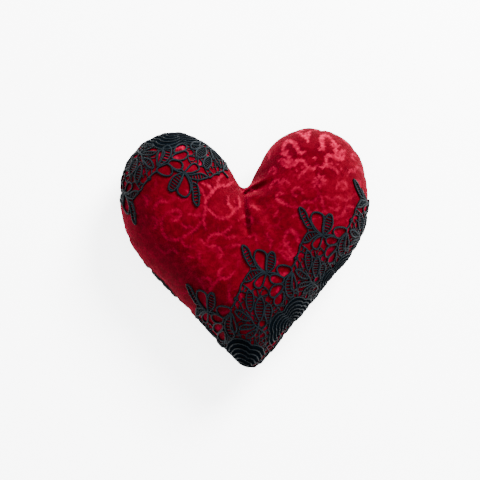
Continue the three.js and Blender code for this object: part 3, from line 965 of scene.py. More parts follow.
BRIDES = (
    ((20.2, -3.8), (19.9, -7.0), (19.2, -10.4)),
    ((17.4, -4.0), (16.8, -6.0), (16.4, -7.6)),
    ((22.6, -3.6), (23.2, -6.2)),
    ((-14.2, 2.0), (-13.0, -1.0), (-12.4, -3.2), (-9.2, -3.2)),
    ((-13.6, 0.4), (-15.4, -0.8), (-17.6, -0.6)),
    ((-5.6, -4.6), (-4.9, -6.2), (-4.6, -8.8)),
    ((-9.4, -4.6), (-10.5, -8.6)),
    ((-9.6, -9.5), (-7.4, -9.2), (-5.2, -9.9)),
    ((-6.8, 5.4), (-5.6, 7.2)),
    ((6.1, 8.6), (7.2, 7.9)),
    ((-5.5, -18.0), (-5.2, -20.4), (-5.0, -22.6)),
    ((1.4, -17.0), (0.2, -19.0), (-1.4, -21.4)),
    ((-0.2, -17.4), (-2.0, -20.0), (-2.6, -22.0)),
    ((3.1, -18.6), (4.0, -21.4)),
    ((10.2, -17.2), (10.0, -19.4), (9.0, -22.0)),
    ((5.6, -19.2), (6.2, -21.6)),
    ((10.4, -17.6), (12.0, -17.0)),
    ((-9.0, -15.4), (-7.4, -15.8), (-5.6, -15.6)),
    ((-8.8, -18.6), (-7.0, -19.8), (-5.2, -19.4)),
    ((12.4, -22.8), (11.4, -24.0), (10.2, -24.8)),
    ((14.0, -24.2), (12.6, -26.2), (11.2, -27.4)),
    ((17.0, -24.4), (15.4, -27.0), (12.6, -30.2)),
    ((20.4, -24.0), (18.2, -27.4), (15.8, -30.4), (13.4, -33.0)),
    ((22.4, -28.0), (20.4, -32.0), (19.0, -36.0)),
    ((22.4, -28.0), (22.2, -33.0), (21.0, -38.0)),
    ((16.0, -26.0), (19.0, -26.4), (22.0, -26.4), (25.0, -26.8)),
    ((14.2, -29.4), (18.0, -30.0), (22.2, -30.6), (25.4, -30.2)),
    ((14.2, -33.4), (18.2, -34.0), (22.0, -34.4), (25.0, -33.6)),
    ((14.4, -37.6), (18.4, -38.0), (21.8, -38.2), (24.8, -37.2)),
    ((7.2, -18.2), (8.4, -19.6), (9.6, -18.4), (8.6, -17.2), (7.2, -18.2)),
    ((-3.8, -19.2), (-2.8, -20.4), (-1.6, -19.6), (-2.4, -18.6)),
    ((-11.6, -3.4), (-12.6, -6.2), (-11.4, -9.0)),
    ((-16.4, -1.0), (-15.2, -2.6), (-14.2, -2.6)),
)
KNOTS = ((-21.5, -2.3, 1.45), (10.4, -17.7, 0.75), (0.1, -0.2, 0.9), (20.3, -20.2, 0.8), (22.4, -27.8, 0.8),
         (18.4, -34.2, 0.6), (22.1, -34.6, 0.6), (18.2, -30.1, 0.6), (-4.9, -20.6, 0.6))
FAN_MIDDLE = (-2.9, -38.5)
FAN_CREST = ((-18.6, -40.0), (-18.8, -36.6), (-17.9, -33.4), (-16.2, -31.0), (-15.6, -28.0), (-13.4, -25.2),
             (-10.2, -23.6), (-7.0, -23.3), (-4.0, -24.8), (-1.0, -23.0), (3.0, -22.2), (6.6, -23.4), (9.2, -26.4),
             (9.8, -28.8), (11.8, -30.8), (13.0, -33.8), (12.8, -37.0), (12.4, -40.0))
FAN_BANDS = 7


@dataclass(frozen=True)
class LacePlace:
    """Where a length of lace lies on the front.

    Attributes:
        name: Its name.
        foot: The foot of its middle sprig, in plan.
        angle: Which way the lace runs, in degrees.
        sprigs: The repeats it shows, from the first to the last.
        starts: Where those repeats are laid along the lace's line, closer together where the lace is eased in.
        fans: Each repeat's fan as its shift along, its shift across and its scale.
        hem: The lace's edge is caught in the seam below this height across the lace.
        limit: What the lace keeps to the left of in plan, or None.
        droop: How far the lace's first end sinks for each millimetre beyond its middle sprig.
        tacks: The stitches that hold it, as CAD node name, repeat and place in the repeat.
    """

    name: str
    foot: tuple[float, float]
    angle: float
    sprigs: tuple[int, ...]
    starts: tuple[float, ...]
    fans: tuple[tuple[float, float, float], ...]
    hem: float
    limit: float | None
    droop: float
    tacks: tuple[tuple[str, int, tuple[float, float]], ...]


LACE_REPEAT = 41.0
SPEAR_TACK, KNOT_TACK = (-4.9, 14.0), (-21.5, -2.3)
LACE_PLACES = (
    LacePlace("lower_right", (10.6, -14.9), 34.0, (-2, -1, 0, 1, 2), (-80.0, -40.0, 0.0, 36.2, 76.0), (
        (0.0, 0.0, 1.0), (-0.6, -1.4, 1.16), (0.4, 0.2, 1.0), (0.0, 0.0, 1.0), (0.0, 0.0, 1.0)), 2.0, None, 0.0, (
        ("tack_lower_right_spear_1", -1, SPEAR_TACK), ("tack_lower_right_spear_2", 0, SPEAR_TACK),
        ("tack_lower_right_spear_3", 1, SPEAR_TACK), ("tack_lower_right_knot_2", 0, KNOT_TACK),
        ("tack_lower_right_knot_3", 1, KNOT_TACK), ("tack_lower_right_knot_4", 2, KNOT_TACK))),
    LacePlace("upper_left", (-33.4, 38.3), 196.0, (-1, 0, 1, 2), (-40.0, 0.0, 39.0, 79.0), (
        (0.0, 0.0, 1.0), (0.0, 3.0, 1.1), (0.0, 0.0, 1.0), (0.0, 0.0, 1.0)), -3.0, -9.7, 0.5, (
        ("tack_upper_left_spear_2", 0, SPEAR_TACK), ("tack_upper_left_spear_3", 1, SPEAR_TACK),
        ("tack_upper_left_knot_3", 1, KNOT_TACK))),
)


class LaidLace:
    """Lays a flat length of lace on the cushion without stretching it."""

    ALONG = np.arange(-110.0, 110.5, 1.0)
    ACROSS = np.arange(30.0, -70.1, -0.4)

    def __init__(self, front: FrontMap, place: LacePlace) -> None:
        """Measures the surface along the lace and across it.

        The lace's length is laid along its sprigs' line and each cross thread square to it: both keep their arc
        length, s = integral sqrt(dx^2 + dz^2), which is inverted to give the plan place of each flat place.

        Args:
            front: The cushion's front.
            place: Where the lace lies.
        """
        self.front = front
        turn = math.radians(place.angle)
        self.place = place
        self.foot = np.array(place.foot)
        self.run = np.array([math.cos(turn), math.sin(turn)])
        self.rise = np.array([-math.sin(turn), math.cos(turn)])
        line = self.foot + self.ALONG[:, None] * self.run
        reach = self._reach(line[None], self.ALONG[None])[0]
        self.plan_along = np.interp(self.ALONG, reach, self.ALONG)
        columns = self.foot + self.plan_along[:, None, None] * self.run + self.ACROSS[None, :, None] * self.rise
        spread = self._reach(columns, np.broadcast_to(self.ACROSS, columns.shape[:2]))
        self.plan_across = np.stack([
            np.interp(self.ACROSS[::-1], row[::-1], self.ACROSS[::-1])[::-1] for row in spread])

    def _reach(self, lines: Array, marks: Array) -> Array:
        """Arc length from the place where the mark is zero, along lines of plan points."""
        flat = lines.reshape(-1, 2)
        spot, _ = self.front.point(flat)
        z = np.where(self.front.inside(flat) > 0.1, spot[:, 2], SIZE.seam_height).reshape(marks.shape)
        step = np.hypot(np.diff(marks, axis=1), np.diff(z, axis=1))
        run = np.concatenate([np.zeros((len(marks), 1)), np.cumsum(step, axis=1)], axis=1)
        zero = np.argmin(np.abs(marks), axis=1)
        run -= np.take_along_axis(run, zero[:, None], axis=1)
        return run * np.sign(marks[0, -1] - marks[0, 0])

    def plan(self, flat: Array) -> Array:
        """Plan places of flat lace places.

        The lace's first end sinks by droop (b + sqrt(b^2 + 16)) / 2, where b is how far beyond x = -8 a place lies.

        Args:
            flat: Places along and across the flat lace, two columns.

        Returns:
            Plan points.
        """
        eased = np.interp(flat[:, 0], np.array(self.place.sprigs) * LACE_REPEAT, self.place.starts)
        u = np.clip(eased - self.ALONG[0], 0, len(self.ALONG) - 1.001)
        beyond = -8.0 - flat[:, 0]
        sunk = flat[:, 1] + self.place.droop * 0.5 * (beyond + np.hypot(beyond, 4.0))
        v = np.clip((self.ACROSS[0] - sunk) / 0.4, 0, len(self.ACROSS) - 1.001)
        u0, v0 = u.astype(int), v.astype(int)
        fu, fv = u - u0, v - v0
        table = self.plan_across
        across = (table[u0, v0] * (1 - fu) + table[u0 + 1, v0] * fu) * (1 - fv) + (
            table[u0, v0 + 1] * (1 - fu) + table[u0 + 1, v0 + 1] * fu) * fv
        along = self.plan_along[u0] * (1 - fu) + self.plan_along[u0 + 1] * fu
        return self.foot + along[:, None] * self.run + across[:, None] * self.rise

    def lay(self, flat: Array, lift: float) -> tuple[Array, Array, Array]:
        """Points off the surface under flat lace places.

        Args:
            flat: Places along and across the flat lace.
            lift: How far off the velvet they stand.

        Returns:
            Points, normals, and whether each lies within the seam and the lace's limit.
        """
        plan = self.plan(flat)
        point, normal = self.front.point(plan)
        kept = self.front.inside(plan) > 0.45
        if self.place.limit is not None:
            kept &= plan[:, 0] < self.place.limit
        return point + normal * lift, normal, kept


def within(points: Array, outline: Array) -> Array:
    """Whether points lie inside a closed outline: a ray from each crosses the outline an odd number of times.

    Args:
        points: Points, two columns.
        outline: The outline's corners.

    Returns:
        One truth value a point.
    """
    x, y = points[:, :1], points[:, 1:]
    ax, ay = outline.T
    bx, by = np.roll(outline, -1, axis=0).T
    spans = (ay > y) != (by > y)
    rise = np.where(by == ay, 1.0, by - ay)
    return (spans & (x < ax + (y - ay) * (bx - ax) / rise)).sum(axis=1) % 2 == 1


def kept_runs(path: Array, up: Array, kept: Array, closed: bool) -> list[tuple[Array, Array, bool]]:
    """Cuts a path into the stretches that are kept.

    Args:
        path: The path's points.
        up: The normals at them.
        kept: Whether each is kept.
        closed: Whether the path is a loop.

    Returns:
        Stretches of at least four points, with their normals and whether they are still loops.
    """
    if kept.all():
        return [(path, up, closed)]
    if closed:
        start = int(np.argmin(kept))
        path, up, kept = (np.roll(a, -start, axis=0) for a in (path, up, kept))
    edges = np.flatnonzero(np.diff(np.concatenate([[0], kept.astype(int), [0]])))
    pairs = edges.reshape(-1, 2)
    return [(path[a:b], up[a:b], False) for a, b in pairs if b - a >= 4]


def ladder(leaf: Leaf) -> list[Array]:
    """The bars across a leaf, square to the line from its foot to its tip.

    Args:
        leaf: The leaf.

    Returns:
        Each bar's two ends.
    """
    if leaf.tip is None:
        return []
    edge = spline(np.array(leaf.edge), 0.25, closed=True)
    foot, tip = np.array(leaf.edge[0]), np.array(leaf.tip)
    axis = (tip - foot) / np.linalg.norm(tip - foot)
    side = np.array([-axis[1], axis[0]])
    along, across = (edge - foot) @ axis, (edge - foot) @ side
    bars = []
    for mark in np.arange(leaf.pitch * 0.8, along.max() - 0.5, leaf.pitch * 0.8):
        near = np.abs(along - mark) < 0.3
        if near.sum() < 2:
            continue
        low, high = across[near].min(), across[near].max()
        if high - low > 0.9:
            bars.append(foot + np.outer([mark, mark], axis) + np.outer([low, high], side))
    return bars


@dataclass
class LaceLength:
    """One length of guipure lace: outlining cords, bars, satin bands and knots.

    Attributes:
        place: Where it lies.
        laid: How it lies on the cushion.
    """

    place: LacePlace
    laid: LaidLace

    def _cord(self, solid: Solid, line: Array, wide: float, tall: float, lift: float, closed: bool, sides: int) -> None:
        """Lays one cord and adds the stretches of it that lie within the seam."""
        path, up, kept = self.laid.lay(line, lift)
        for run, normal, loop in kept_runs(path, up, kept, closed):
            add_tube(solid, run, normal, wide, tall, sides, loop)

    def _repeats(self) -> list[Array]:
        """How far along each repeat starts."""
        return [np.array([LACE_REPEAT * k, 0.0]) for k in self.place.sprigs]

    def cords(self) -> Solid:
        """The thick cords that outline the leaves and petals."""
        solid = Solid()
        for start in self._repeats():
            for leaf in LEAVES:
                line = spline(np.array(leaf.edge), 0.55, closed=True) + start
                self._cord(solid, line, 0.6, 0.55, 0.55, True, 8)
            for stem in STEMS:
                self._cord(solid, spline(np.array(stem), 0.55) + start, 0.58, 0.52, 0.6, False, 8)
        return solid

    def bars(self) -> Solid:
        """The thin threads that cross the leaves and tie the cells together."""
        solid = Solid()
        net = self._net()
        for start in self._repeats():
            for leaf in LEAVES:
                for bar in ladder(leaf):
                    self._cord(solid, spline(bar, 0.6) + start, 0.4, 0.34, 0.42, False, 6)
            for bride in BRIDES:
                self._cord(solid, spline(np.array(bride), 0.6) + start, 0.42, 0.36, 0.42, False, 6)
            for line in net:
                self._cord(solid, line + start, 0.38, 0.32, 0.4, False, 6)
        return solid

    @staticmethod
    def _net() -> list[Array]:
        """The irregular net between the leaves: the edges of a honeycomb that lie outside every leaf and fan.

        Cell (i, j) of the honeycomb has its middle at (1.5 a i, sqrt(3) a (j + (i mod 2) / 2)) and its corners at a
        distance a from it, pushed about by sines; a whole number of cells fits the repeat.
        """
        columns, rows = 12, 14
        side = LACE_REPEAT / (1.5 * columns)
        i, j = np.meshgrid(np.arange(columns) - columns // 2, np.arange(-rows, 0), indexing="ij")
        middle = np.stack([1.5 * side * i, math.sqrt(3) * side * (j + 0.5 * (i % 2))], axis=-1).reshape(-1, 1, 2)
        turn = np.radians([0, 60, 120, 180])
        corner = middle + side * np.stack([np.cos(turn), np.sin(turn)], axis=1)
        x, y = corner[..., 0] * 2 * np.pi / LACE_REPEAT, corner[..., 1]
        corner = corner + 0.4 * np.stack([np.sin(3 * x + 1.3 * y), np.sin(5 * x - 1.7 * y)], axis=-1)
        edges = np.stack([corner[:, :-1], corner[:, 1:]], axis=2).reshape(-1, 2, 2)
        share = np.array([0.1, 0.5, 0.9])[None, :, None]
        samples = edges[:, :1] * (1 - share) + edges[:, 1:] * share
        clear = samples[..., 1].max(axis=1) < -4.5
        outlines = [spline(np.array(leaf.edge), 0.8, closed=True) for leaf in LEAVES]
        outlines.append(np.vstack([FAN_CREST, [FAN_MIDDLE]]))
        for outline in outlines:
            for shift in (-LACE_REPEAT, 0.0, LACE_REPEAT):
                clear &= ~within(samples.reshape(-1, 2) - [shift, 0.0], outline).reshape(-1, 3).any(axis=1)
        return [spline(edge, 0.6) for edge in edges[clear]]

    def _fan_line(self, number: int, share: float) -> Array:
        """A curve of a repeat's fan, at a share of the way from the fan's middle to its scalloped crest."""
        along, across, scale = self.place.fans[number]
        crest, middle = np.array(FAN_CREST), np.array(FAN_MIDDLE)
        return spline(middle + (crest - middle) * share * scale + [along, across], 0.45)

    def bands(self) -> Solid:
        """The fans' satin-stitched bands, one inside the other, broad and flat."""
        solid = Solid()
        for number, start in enumerate(self._repeats()):
            for k in range(FAN_BANDS):
                share = 1 - k / (FAN_BANDS - 0.4)
                wide = 1.28 * self.place.fans[number][2]
                self._cord(solid, self._fan_line(number, share) + start, wide, 0.42, 0.42, False, 10)
        return solid

    def welts(self) -> Solid:
        """The thin raised cords between the fans' bands."""
        solid = Solid()
        for number, start in enumerate(self._repeats()):
            for k in range(FAN_BANDS):
                share = 1 - (k - 0.46) / (FAN_BANDS - 0.4)
                self._cord(solid, self._fan_line(number, share) + start, 0.4, 0.42, 0.74, False, 8)
        return solid

    def hem(self) -> Solid:
        """The lace's cut edge caught in the seam: wavering cords beside the seam, under the lace."""
        solid = Solid()
        grid = self.laid.front.grid
        seam = grid[-1]
        across = (seam[:, :2] - self.laid.foot) @ self.laid.rise
        kept = across < self.place.hem
        if self.place.limit is not None:
            kept &= seam[:, 0] < self.place.limit
        start = int(np.argmin(kept))
        away = np.linalg.norm(grid - seam, axis=2)
        column = np.arange(grid.shape[1])
        for depth, wide, wave in ((0.1, 0.5, 0.14), (1.15, 0.55, 0.2), (2.3, 0.5, 0.3), (3.6, 0.42, 0.3)):
            ring = np.abs(away - depth - wave * np.sin(column * 0.58 / (0.5 + 0.21 * depth))[None]).argmin(axis=0)
            line = grid[ring, column]
            up = self.laid.front.normal[ring, column]
            line = line + up * (0.3 + 0.5 * wave * np.sin(column * 0.58 / (0.62 + 0.1 * wide)))[:, None]
            path, normal, share = (np.roll(a, -start, axis=0) for a in (line, up, kept))
            for run, lift, loop in kept_runs(path, normal, share, False):
                add_tube(solid, run, lift, wide, 0.5, 8, loop)
        return solid

    def knots(self) -> Solid:
        """The round knots, as flattened domes wound with thread."""
        solid = Solid()
        angle = np.linspace(0, 2 * np.pi, 14, endpoint=False)
        tilt = np.linspace(0, np.pi, 9)[1:-1]
        for start in self._repeats():
            for along, across, radius in KNOTS:
                centre, up, kept = self.laid.lay(np.array([[along, across]]) + start, 0.35)
                if not kept[0]:
                    continue
                side = np.cross(up[0], [1.0, 0.0, 0.0])
                side /= np.linalg.norm(side)
                other = np.cross(up[0], side)
                ring = np.cos(angle)[:, None] * side + np.sin(angle)[:, None] * other
                rings = (centre[0] + ring[None] * (radius * np.sin(tilt))[:, None, None]
                         + up[0] * (radius * 0.62 * np.cos(tilt))[:, None, None])
                ends = np.stack([centre[0] + up[0] * radius * 0.62, centre[0] - up[0] * radius * 0.62])
                uv = np.stack(np.broadcast_arrays(tilt[:, None], (angle * radius)[None]), axis=-1).reshape(-1, 2)
                solid.add(np.vstack([rings.reshape(-1, 3), ends]), capped_faces(len(tilt), len(angle)),
                          np.vstack([uv, np.zeros((2, 2))]))
        return solid

    def tack(self, repeat: int, spot: tuple[float, float]) -> Solid:
        """One tacking stitch: a short thread that arches over the lace.

        Args:
            repeat: The repeat it is in.
            spot: Its place in the repeat.

        Returns:
            The stitch.
        """
        t = np.linspace(-1, 1, 13)
        flat = np.stack([np.full(13, spot[0]) + t * 1.2, np.full(13, spot[1]) + 0.15 * t], axis=1)
        flat += np.array([LACE_REPEAT * repeat, 0.0])
        path, up, _ = self.laid.lay(flat, 0.0)
        path += up * (0.15 + 1.1 * np.sqrt(np.maximum(1 - np.abs(t) ** 2.5, 0)))[:, None]
        solid = Solid()
        add_tube(solid, path, up, 0.2, 0.2, 8)
        return solid


# ---------------------------------------------------------------------------------------------------------------------
# Shader graphs
# ---------------------------------------------------------------------------------------------------------------------
class Graph:
    """One material's node graph."""

    def __init__(self, name: str) -> None:
        """Makes an empty material with a Principled shader.

        Args:
            name: The material's name.
        """
        self.material = bpy.data.materials.new(name)
        self.material.use_nodes = True
        self.tree = self.material.node_tree
        self.tree.nodes.clear()
        self.out = self.tree.nodes.new("ShaderNodeOutputMaterial")
        self.shader = self.tree.nodes.new("ShaderNodeBsdfPrincipled")
        self.tree.links.new(self.shader.outputs[0], self.out.inputs["Surface"])
        self.places = 0

    def node(self, kind: str, inputs: dict | None = None, **settings) -> bpy.types.Node:
        """Adds a node.

        Args:
            kind: The node's type.
            inputs: Values, sockets or wrapped sockets by input name or number.
            **settings: The node's own properties.

        Returns:
            The node.
        """
        made = self.tree.nodes.new(kind)
        self.places += 1
        made.location = (-220 * (self.places % 9) - 300, 160 * (self.places // 9))
        for key, value in settings.items():
            setattr(made, key, value)
        for key, value in (inputs or {}).items():
            self.join(value, made.inputs[key])
        return made

    def join(self, value, target: bpy.types.NodeSocket) -> None:
        """Links a socket to an input, or sets the input's value.

        Args:
            value: A wrapped socket, a socket or a plain value.
            target: The input.
        """
        if isinstance(value, Wire):
            self.tree.links.new(value.socket, target)
        elif isinstance(value, bpy.types.NodeSocket):
            self.tree.links.new(value, target)
        else:
            target.default_value = value

    def set(self, **values) -> None:
        """Sets or links the shader's inputs; underscores stand for spaces.

        Args:
            **values: Values or wrapped sockets by input name.
        """
        for key, value in values.items():
            self.join(value, self.shader.inputs[key.replace("_", " ")])

    def attribute(self, name: str) -> "Wire":
        """A float attribute of the mesh."""
        return Wire(self, self.node("ShaderNodeAttribute", attribute_name=name).outputs["Fac"])

    def position(self) -> bpy.types.NodeSocket:
        """The object's own coordinates, in metres."""
        return self.node("ShaderNodeTexCoord").outputs["Object"]

    def noise(self, scale: float, detail: float = 3.0, rough: float = 0.5, stretch: tuple = (1, 1, 1)) -> "Wire":
        """Noise in the object's coordinates, 0 to 1.

        Args:
            scale: Cells a metre.
            detail: Octaves.
            rough: Strength of the finer octaves.
            stretch: Scale of each axis.
        """
        place = self.node("ShaderNodeVectorMath", {0: self.position(), 1: stretch}, operation="MULTIPLY")
        made = self.node("ShaderNodeTexNoise", {
            "Vector": place.outputs[0], "Scale": scale, "Detail": detail, "Roughness": rough})
        return Wire(self, made.outputs["Fac"])

    def uv(self) -> tuple["Wire", "Wire"]:
        """The mesh's U and V."""
        split = self.node("ShaderNodeSeparateXYZ", {0: self.node("ShaderNodeTexCoord").outputs["UV"]})
        return Wire(self, split.outputs[0]), Wire(self, split.outputs[1])

    def axes(self) -> tuple["Wire", "Wire", "Wire"]:
        """The object's X, Y and Z, in metres."""
        split = self.node("ShaderNodeSeparateXYZ", {0: self.position()})
        return Wire(self, split.outputs[0]), Wire(self, split.outputs[1]), Wire(self, split.outputs[2])

    def mix(self, low: tuple, high: tuple, share: "Wire") -> "Wire":
        """A colour between two colours.

        Args:
            low: Colour, or wrapped socket, where the share is 0.
            high: Colour, or wrapped socket, where it is 1.
            share: The share.
        """
        made = self.node("ShaderNodeMix", data_type="RGBA", clamp_factor=True)
        self.join(share, made.inputs[0])
        self.join(low if isinstance(low, Wire) else (*low, 1.0), made.inputs[6])
        self.join(high if isinstance(high, Wire) else (*high, 1.0), made.inputs[7])
        return Wire(self, made.outputs[2])

    def bump(self, height: "Wire", distance: float, strength: float = 1.0, under=None) -> bpy.types.NodeSocket:
        """A bumped normal.

        Args:
            height: The height, 0 to 1.
            distance: What a height of 1 stands for, in metres.
            strength: Strength of the bump.
            under: A normal that this one is laid on.
        """
        inputs = {"Height": height, "Distance": distance, "Strength": strength}
        if under is not None:
            inputs["Normal"] = under
        return self.node("ShaderNodeBump", inputs).outputs[0]


@dataclass
class Wire:
    """A number in a shader graph, with ordinary arithmetic.

    Attributes:
        graph: The graph it belongs to.
        socket: The output that carries it.
    """

    graph: Graph
    socket: bpy.types.NodeSocket

    def math(self, operation: str, *others) -> "Wire":
        """A Math node with this number as its first input."""
        inputs = {0: self, **{k + 1: value for k, value in enumerate(others)}}
        return Wire(self.graph, self.graph.node("ShaderNodeMath", inputs, operation=operation).outputs[0])

    def __add__(self, other) -> "Wire":
        return self.math("ADD", other)

    def __sub__(self, other) -> "Wire":
        return self.math("SUBTRACT", other)

    def __mul__(self, other) -> "Wire":
        return self.math("MULTIPLY", other)

    def __rsub__(self, other) -> "Wire":
        return (self * -1.0) + other

    __radd__ = __add__
    __rmul__ = __mul__

    def sin(self) -> "Wire":
        """The sine."""
        return self.math("SINE")

    def between(self, low: float, high: float) -> "Wire":
        """0 at low, 1 at high, smooth between them and held outside them."""
        made = self.graph.node("ShaderNodeMapRange", {0: self, 1: low, 2: high}, interpolation_type="SMOOTHSTEP")
        return Wire(self.graph, made.outputs[0])


# ---------------------------------------------------------------------------------------------------------------------
# Materials
# ---------------------------------------------------------------------------------------------------------------------
@dataclass(frozen=True)
class VelvetFinish:
    """Figured velvet.

    Attributes:
        ground: Colour of the flat ground.
        shade: Colour of the ground where the pile lies away from the light.
        figure: Colour of the raised figure.
        gleam: Tint of the pile's sheen.
    """

    ground: tuple[float, float, float] = (0.052, 0.0, 0.0024)
    shade: tuple[float, float, float] = (0.023, 0.0, 0.0011)
    figure: tuple[float, float, float] = (0.22, 0.0, 0.020)
    gleam: tuple[float, float, float] = (1.0, 0.0, 0.08)

    def material(self) -> bpy.types.Material:
        """The material; it reads two attributes: the figure, and a share of painted light that shows the figure
        brighter and the ground darker where light falls on the cushion.
        """
        g = Graph("figured velvet")
        figure, painted_light = g.attribute("figure"), g.attribute("painted_light")
        patch = g.noise(70.0, 4.0, 0.62).between(0.36, 0.66)
        crush = g.noise(330.0, 5.0, 0.66).between(0.33, 0.69)
        broken = g.noise(430.0, 3.0, 0.6).between(0.4, 0.62)
        curl = (g.noise(150.0, 2.0, 0.5) - 0.5).math("ABSOLUTE").between(0.055, 0.0)
        worn = g.noise(130.0, 3.0, 0.6).between(0.4, 0.64)
        pile = g.noise(3800.0, 2.0, 0.5)
        # The ground mottles at random between the shade and ground colours; where the light is painted it is pulled
        # darker, a painted shade that sets off the lit figure.
        ground = g.mix(self.shade, self.ground, (patch * 0.45 + crush * 0.55) * (1.0 - painted_light * 0.35))
        # painted light: the figure shows clearly only where light is painted on it
        clear = figure * (painted_light * 0.92 + 0.08) * (broken * 0.6 + 0.42)
        # the soft figure fades where the light is painted
        soft = (figure * (broken * 0.1 + 0.05) + curl * worn * 0.07) * (1.1 - painted_light)
        shown = clear + soft + crush * patch * 0.05
        g.set(
            Base_Color=g.mix(ground, self.figure, shown),
            Roughness=0.84 - clear * 0.2,
            IOR=1.42,
            Specular_IOR_Level=0.01,
            Sheen_Weight=0.12,
            Sheen_Roughness=0.4,
            Sheen_Tint=(*self.gleam, 1.0),
        )
        fine = g.bump(pile * 0.6 + crush * 0.4, 0.00018, 0.7)
        g.set(Normal=g.bump(clear * 0.8 + patch * 0.4 + soft, 0.00024, 0.8, fine))
        return g.material


@dataclass(frozen=True)
class WovenFinish:
    """Plain woven cloth.

    Attributes:
        name: The material's name.
        dark: Colour between the threads.
        light: Colour on them.
        pitch: Threads a metre.
    """

    name: str
    dark: tuple[float, float, float]
    light: tuple[float, float, float]
    pitch: float = 2600.0

    def material(self) -> bpy.types.Material:
        """The material; warp and weft are sines in the object's X and Y, with slubs."""
        g = Graph(self.name)
        x, y, z = g.axes()
        sway = g.noise(260.0, 2.0) * 0.0016
        turn = 2 * math.pi * self.pitch
        warp = ((x + sway + z * 0.31) * turn).sin() * 0.5 + 0.5
        weft = ((y + sway + z * 0.83) * turn).sin() * 0.5 + 0.5
        weave = warp * weft
        slub = g.noise(900.0, 3.0, 0.6, (1.0, 0.22, 1.0))
        worn = g.noise(60.0, 3.0).between(0.35, 0.7)
        g.set(
            Base_Color=g.mix(self.dark, self.light, weave * 0.55 + slub * 0.3 + worn * 0.2),
            Roughness=0.92 - worn * 0.12,
            Specular_IOR_Level=0.04,
            Sheen_Weight=0.0,
            Normal=g.bump(weave * 0.7 + slub * 0.5, 0.00016, 0.8),
        )
        return g.material


@dataclass(frozen=True)
class ThreadFinish:
    """Twisted or wound thread; U runs round the cord and V along it in millimetres.

    Attributes:
        name: The material's name.
        dark: Colour in the grooves and of the painted shade at the cord's sides.
        light: Colour on the threads, reached only in the painted highlight along the cord's top and underside.
        pitch: Length of one turn, in millimetres.
        twist: Turns the grooves from square across, 0, to aslant, 1.
        gloss: Roughness on top of the threads.
        shine: Specular level.
    """

    name: str
    dark: tuple[float, float, float] = (0.0003, 0.0005, 0.0008)
    light: tuple[float, float, float] = (0.0034, 0.0068, 0.0098)
    pitch: float = 0.62
    twist: float = 1.0
    gloss: float = 0.46
    shine: float = 0.03

    def material(self) -> bpy.types.Material:
        """The material: grooves 0.5 + 0.5 sin(2 pi (v / pitch + twist u)), with a painted highlight on the cord's top
        and underside and painted shade at its sides, sin(pi u).
        """
        g = Graph(self.name)
        u, v = g.uv()
        # painted highlight on the cord's top and underside, painted shade at its sides
        top = (u * math.pi).sin().between(0.55, 1.0)
        groove = ((v * (1 / self.pitch) + u * self.twist) * (2 * math.pi)).sin() * 0.5 + 0.5
        fuzz = g.noise(5200.0, 3.0, 0.6)
        dye = g.noise(210.0, 3.0, 0.55).between(0.3, 0.7)
        g.set(
            Base_Color=g.mix(self.dark, self.light, top * (groove * 0.45 + fuzz * 0.3 + dye * 0.4)),
            Roughness=self.gloss + 0.2 - groove * 0.18 + fuzz * 0.1,
            Specular_IOR_Level=self.shine,
            Sheen_Weight=0.0,
            Normal=g.bump(groove * 0.8 + fuzz * 0.35, 0.00014, 0.9),
        )
        return g.material


@dataclass(frozen=True)
class FibreFinish:
    """Loose white filling fibre."""

    name: str = "loose fibre"
    dark: tuple[float, float, float] = (0.62, 0.60, 0.56)
    light: tuple[float, float, float] = (0.88, 0.87, 0.84)

    def material(self) -> bpy.types.Material:
        """The material: tangled stretched noise."""
        g = Graph(self.name)
        strands = g.noise(700.0, 6.0, 0.72, (1.0, 0.3, 1.6))
        clump = g.noise(120.0, 4.0, 0.6)
        g.set(
            Base_Color=g.mix(self.dark, self.light, strands * 0.6 + clump * 0.5),
            Roughness=0.95,
            Sheen_Weight=0.4,
            Normal=g.bump(strands * 0.7 + clump * 0.6, 0.0009, 0.8),
        )
        return g.material


@dataclass(frozen=True)
class SurfaceFinish:
    """The pale surface the heart lies on."""

    name: str = "pale surface"
    dark: tuple[float, float, float] = (0.78, 0.785, 0.79)
    light: tuple[float, float, float] = (0.84, 0.845, 0.85)

    def material(self) -> bpy.types.Material:
        """The material: plain, with a breath of unevenness."""
        g = Graph(self.name)
        g.set(
            Base_Color=g.mix(self.dark, self.light, g.noise(14.0, 4.0, 0.6)),
            Roughness=0.5 + g.noise(60.0) * 0.1,
            Specular_IOR_Level=0.3,
            Emission_Color=(1.0, 1.0, 1.0, 1.0),
            Emission_Strength=4.2,
        )
        return g.material


# ---------------------------------------------------------------------------------------------------------------------
# Assemblies
# ---------------------------------------------------------------------------------------------------------------------
@dataclass
class Palette:
    """Every finish of the heart, made once."""

    velvet: bpy.types.Material = field(default_factory=lambda: VelvetFinish().material())
    backing: bpy.types.Material = field(default_factory=lambda: WovenFinish(
        "black cloth", (0.0008, 0.0008, 0.001), (0.0055, 0.0055, 0.0065)).material())
    cord: bpy.types.Material = field(default_factory=lambda: ThreadFinish("lace cord").material())
    bar: bpy.types.Material = field(default_factory=lambda: ThreadFinish("lace bar", pitch=0.45).material())
    satin: bpy.types.Material = field(default_factory=lambda: ThreadFinish(
        "lace satin stitch", dark=(0.0003, 0.0005, 0.0008), light=(0.0012, 0.0022, 0.0034), pitch=0.42, twist=0.12,
        gloss=0.4, shine=0.0).material())
    thread: bpy.types.Material = field(default_factory=lambda: ThreadFinish(
        "sewing thread", light=(0.004, 0.006, 0.008), pitch=0.3).material())
    fibre: bpy.types.Material = field(default_factory=lambda: FibreFinish().material())
    surface: bpy.types.Material = field(default_factory=lambda: SurfaceFinish().material())


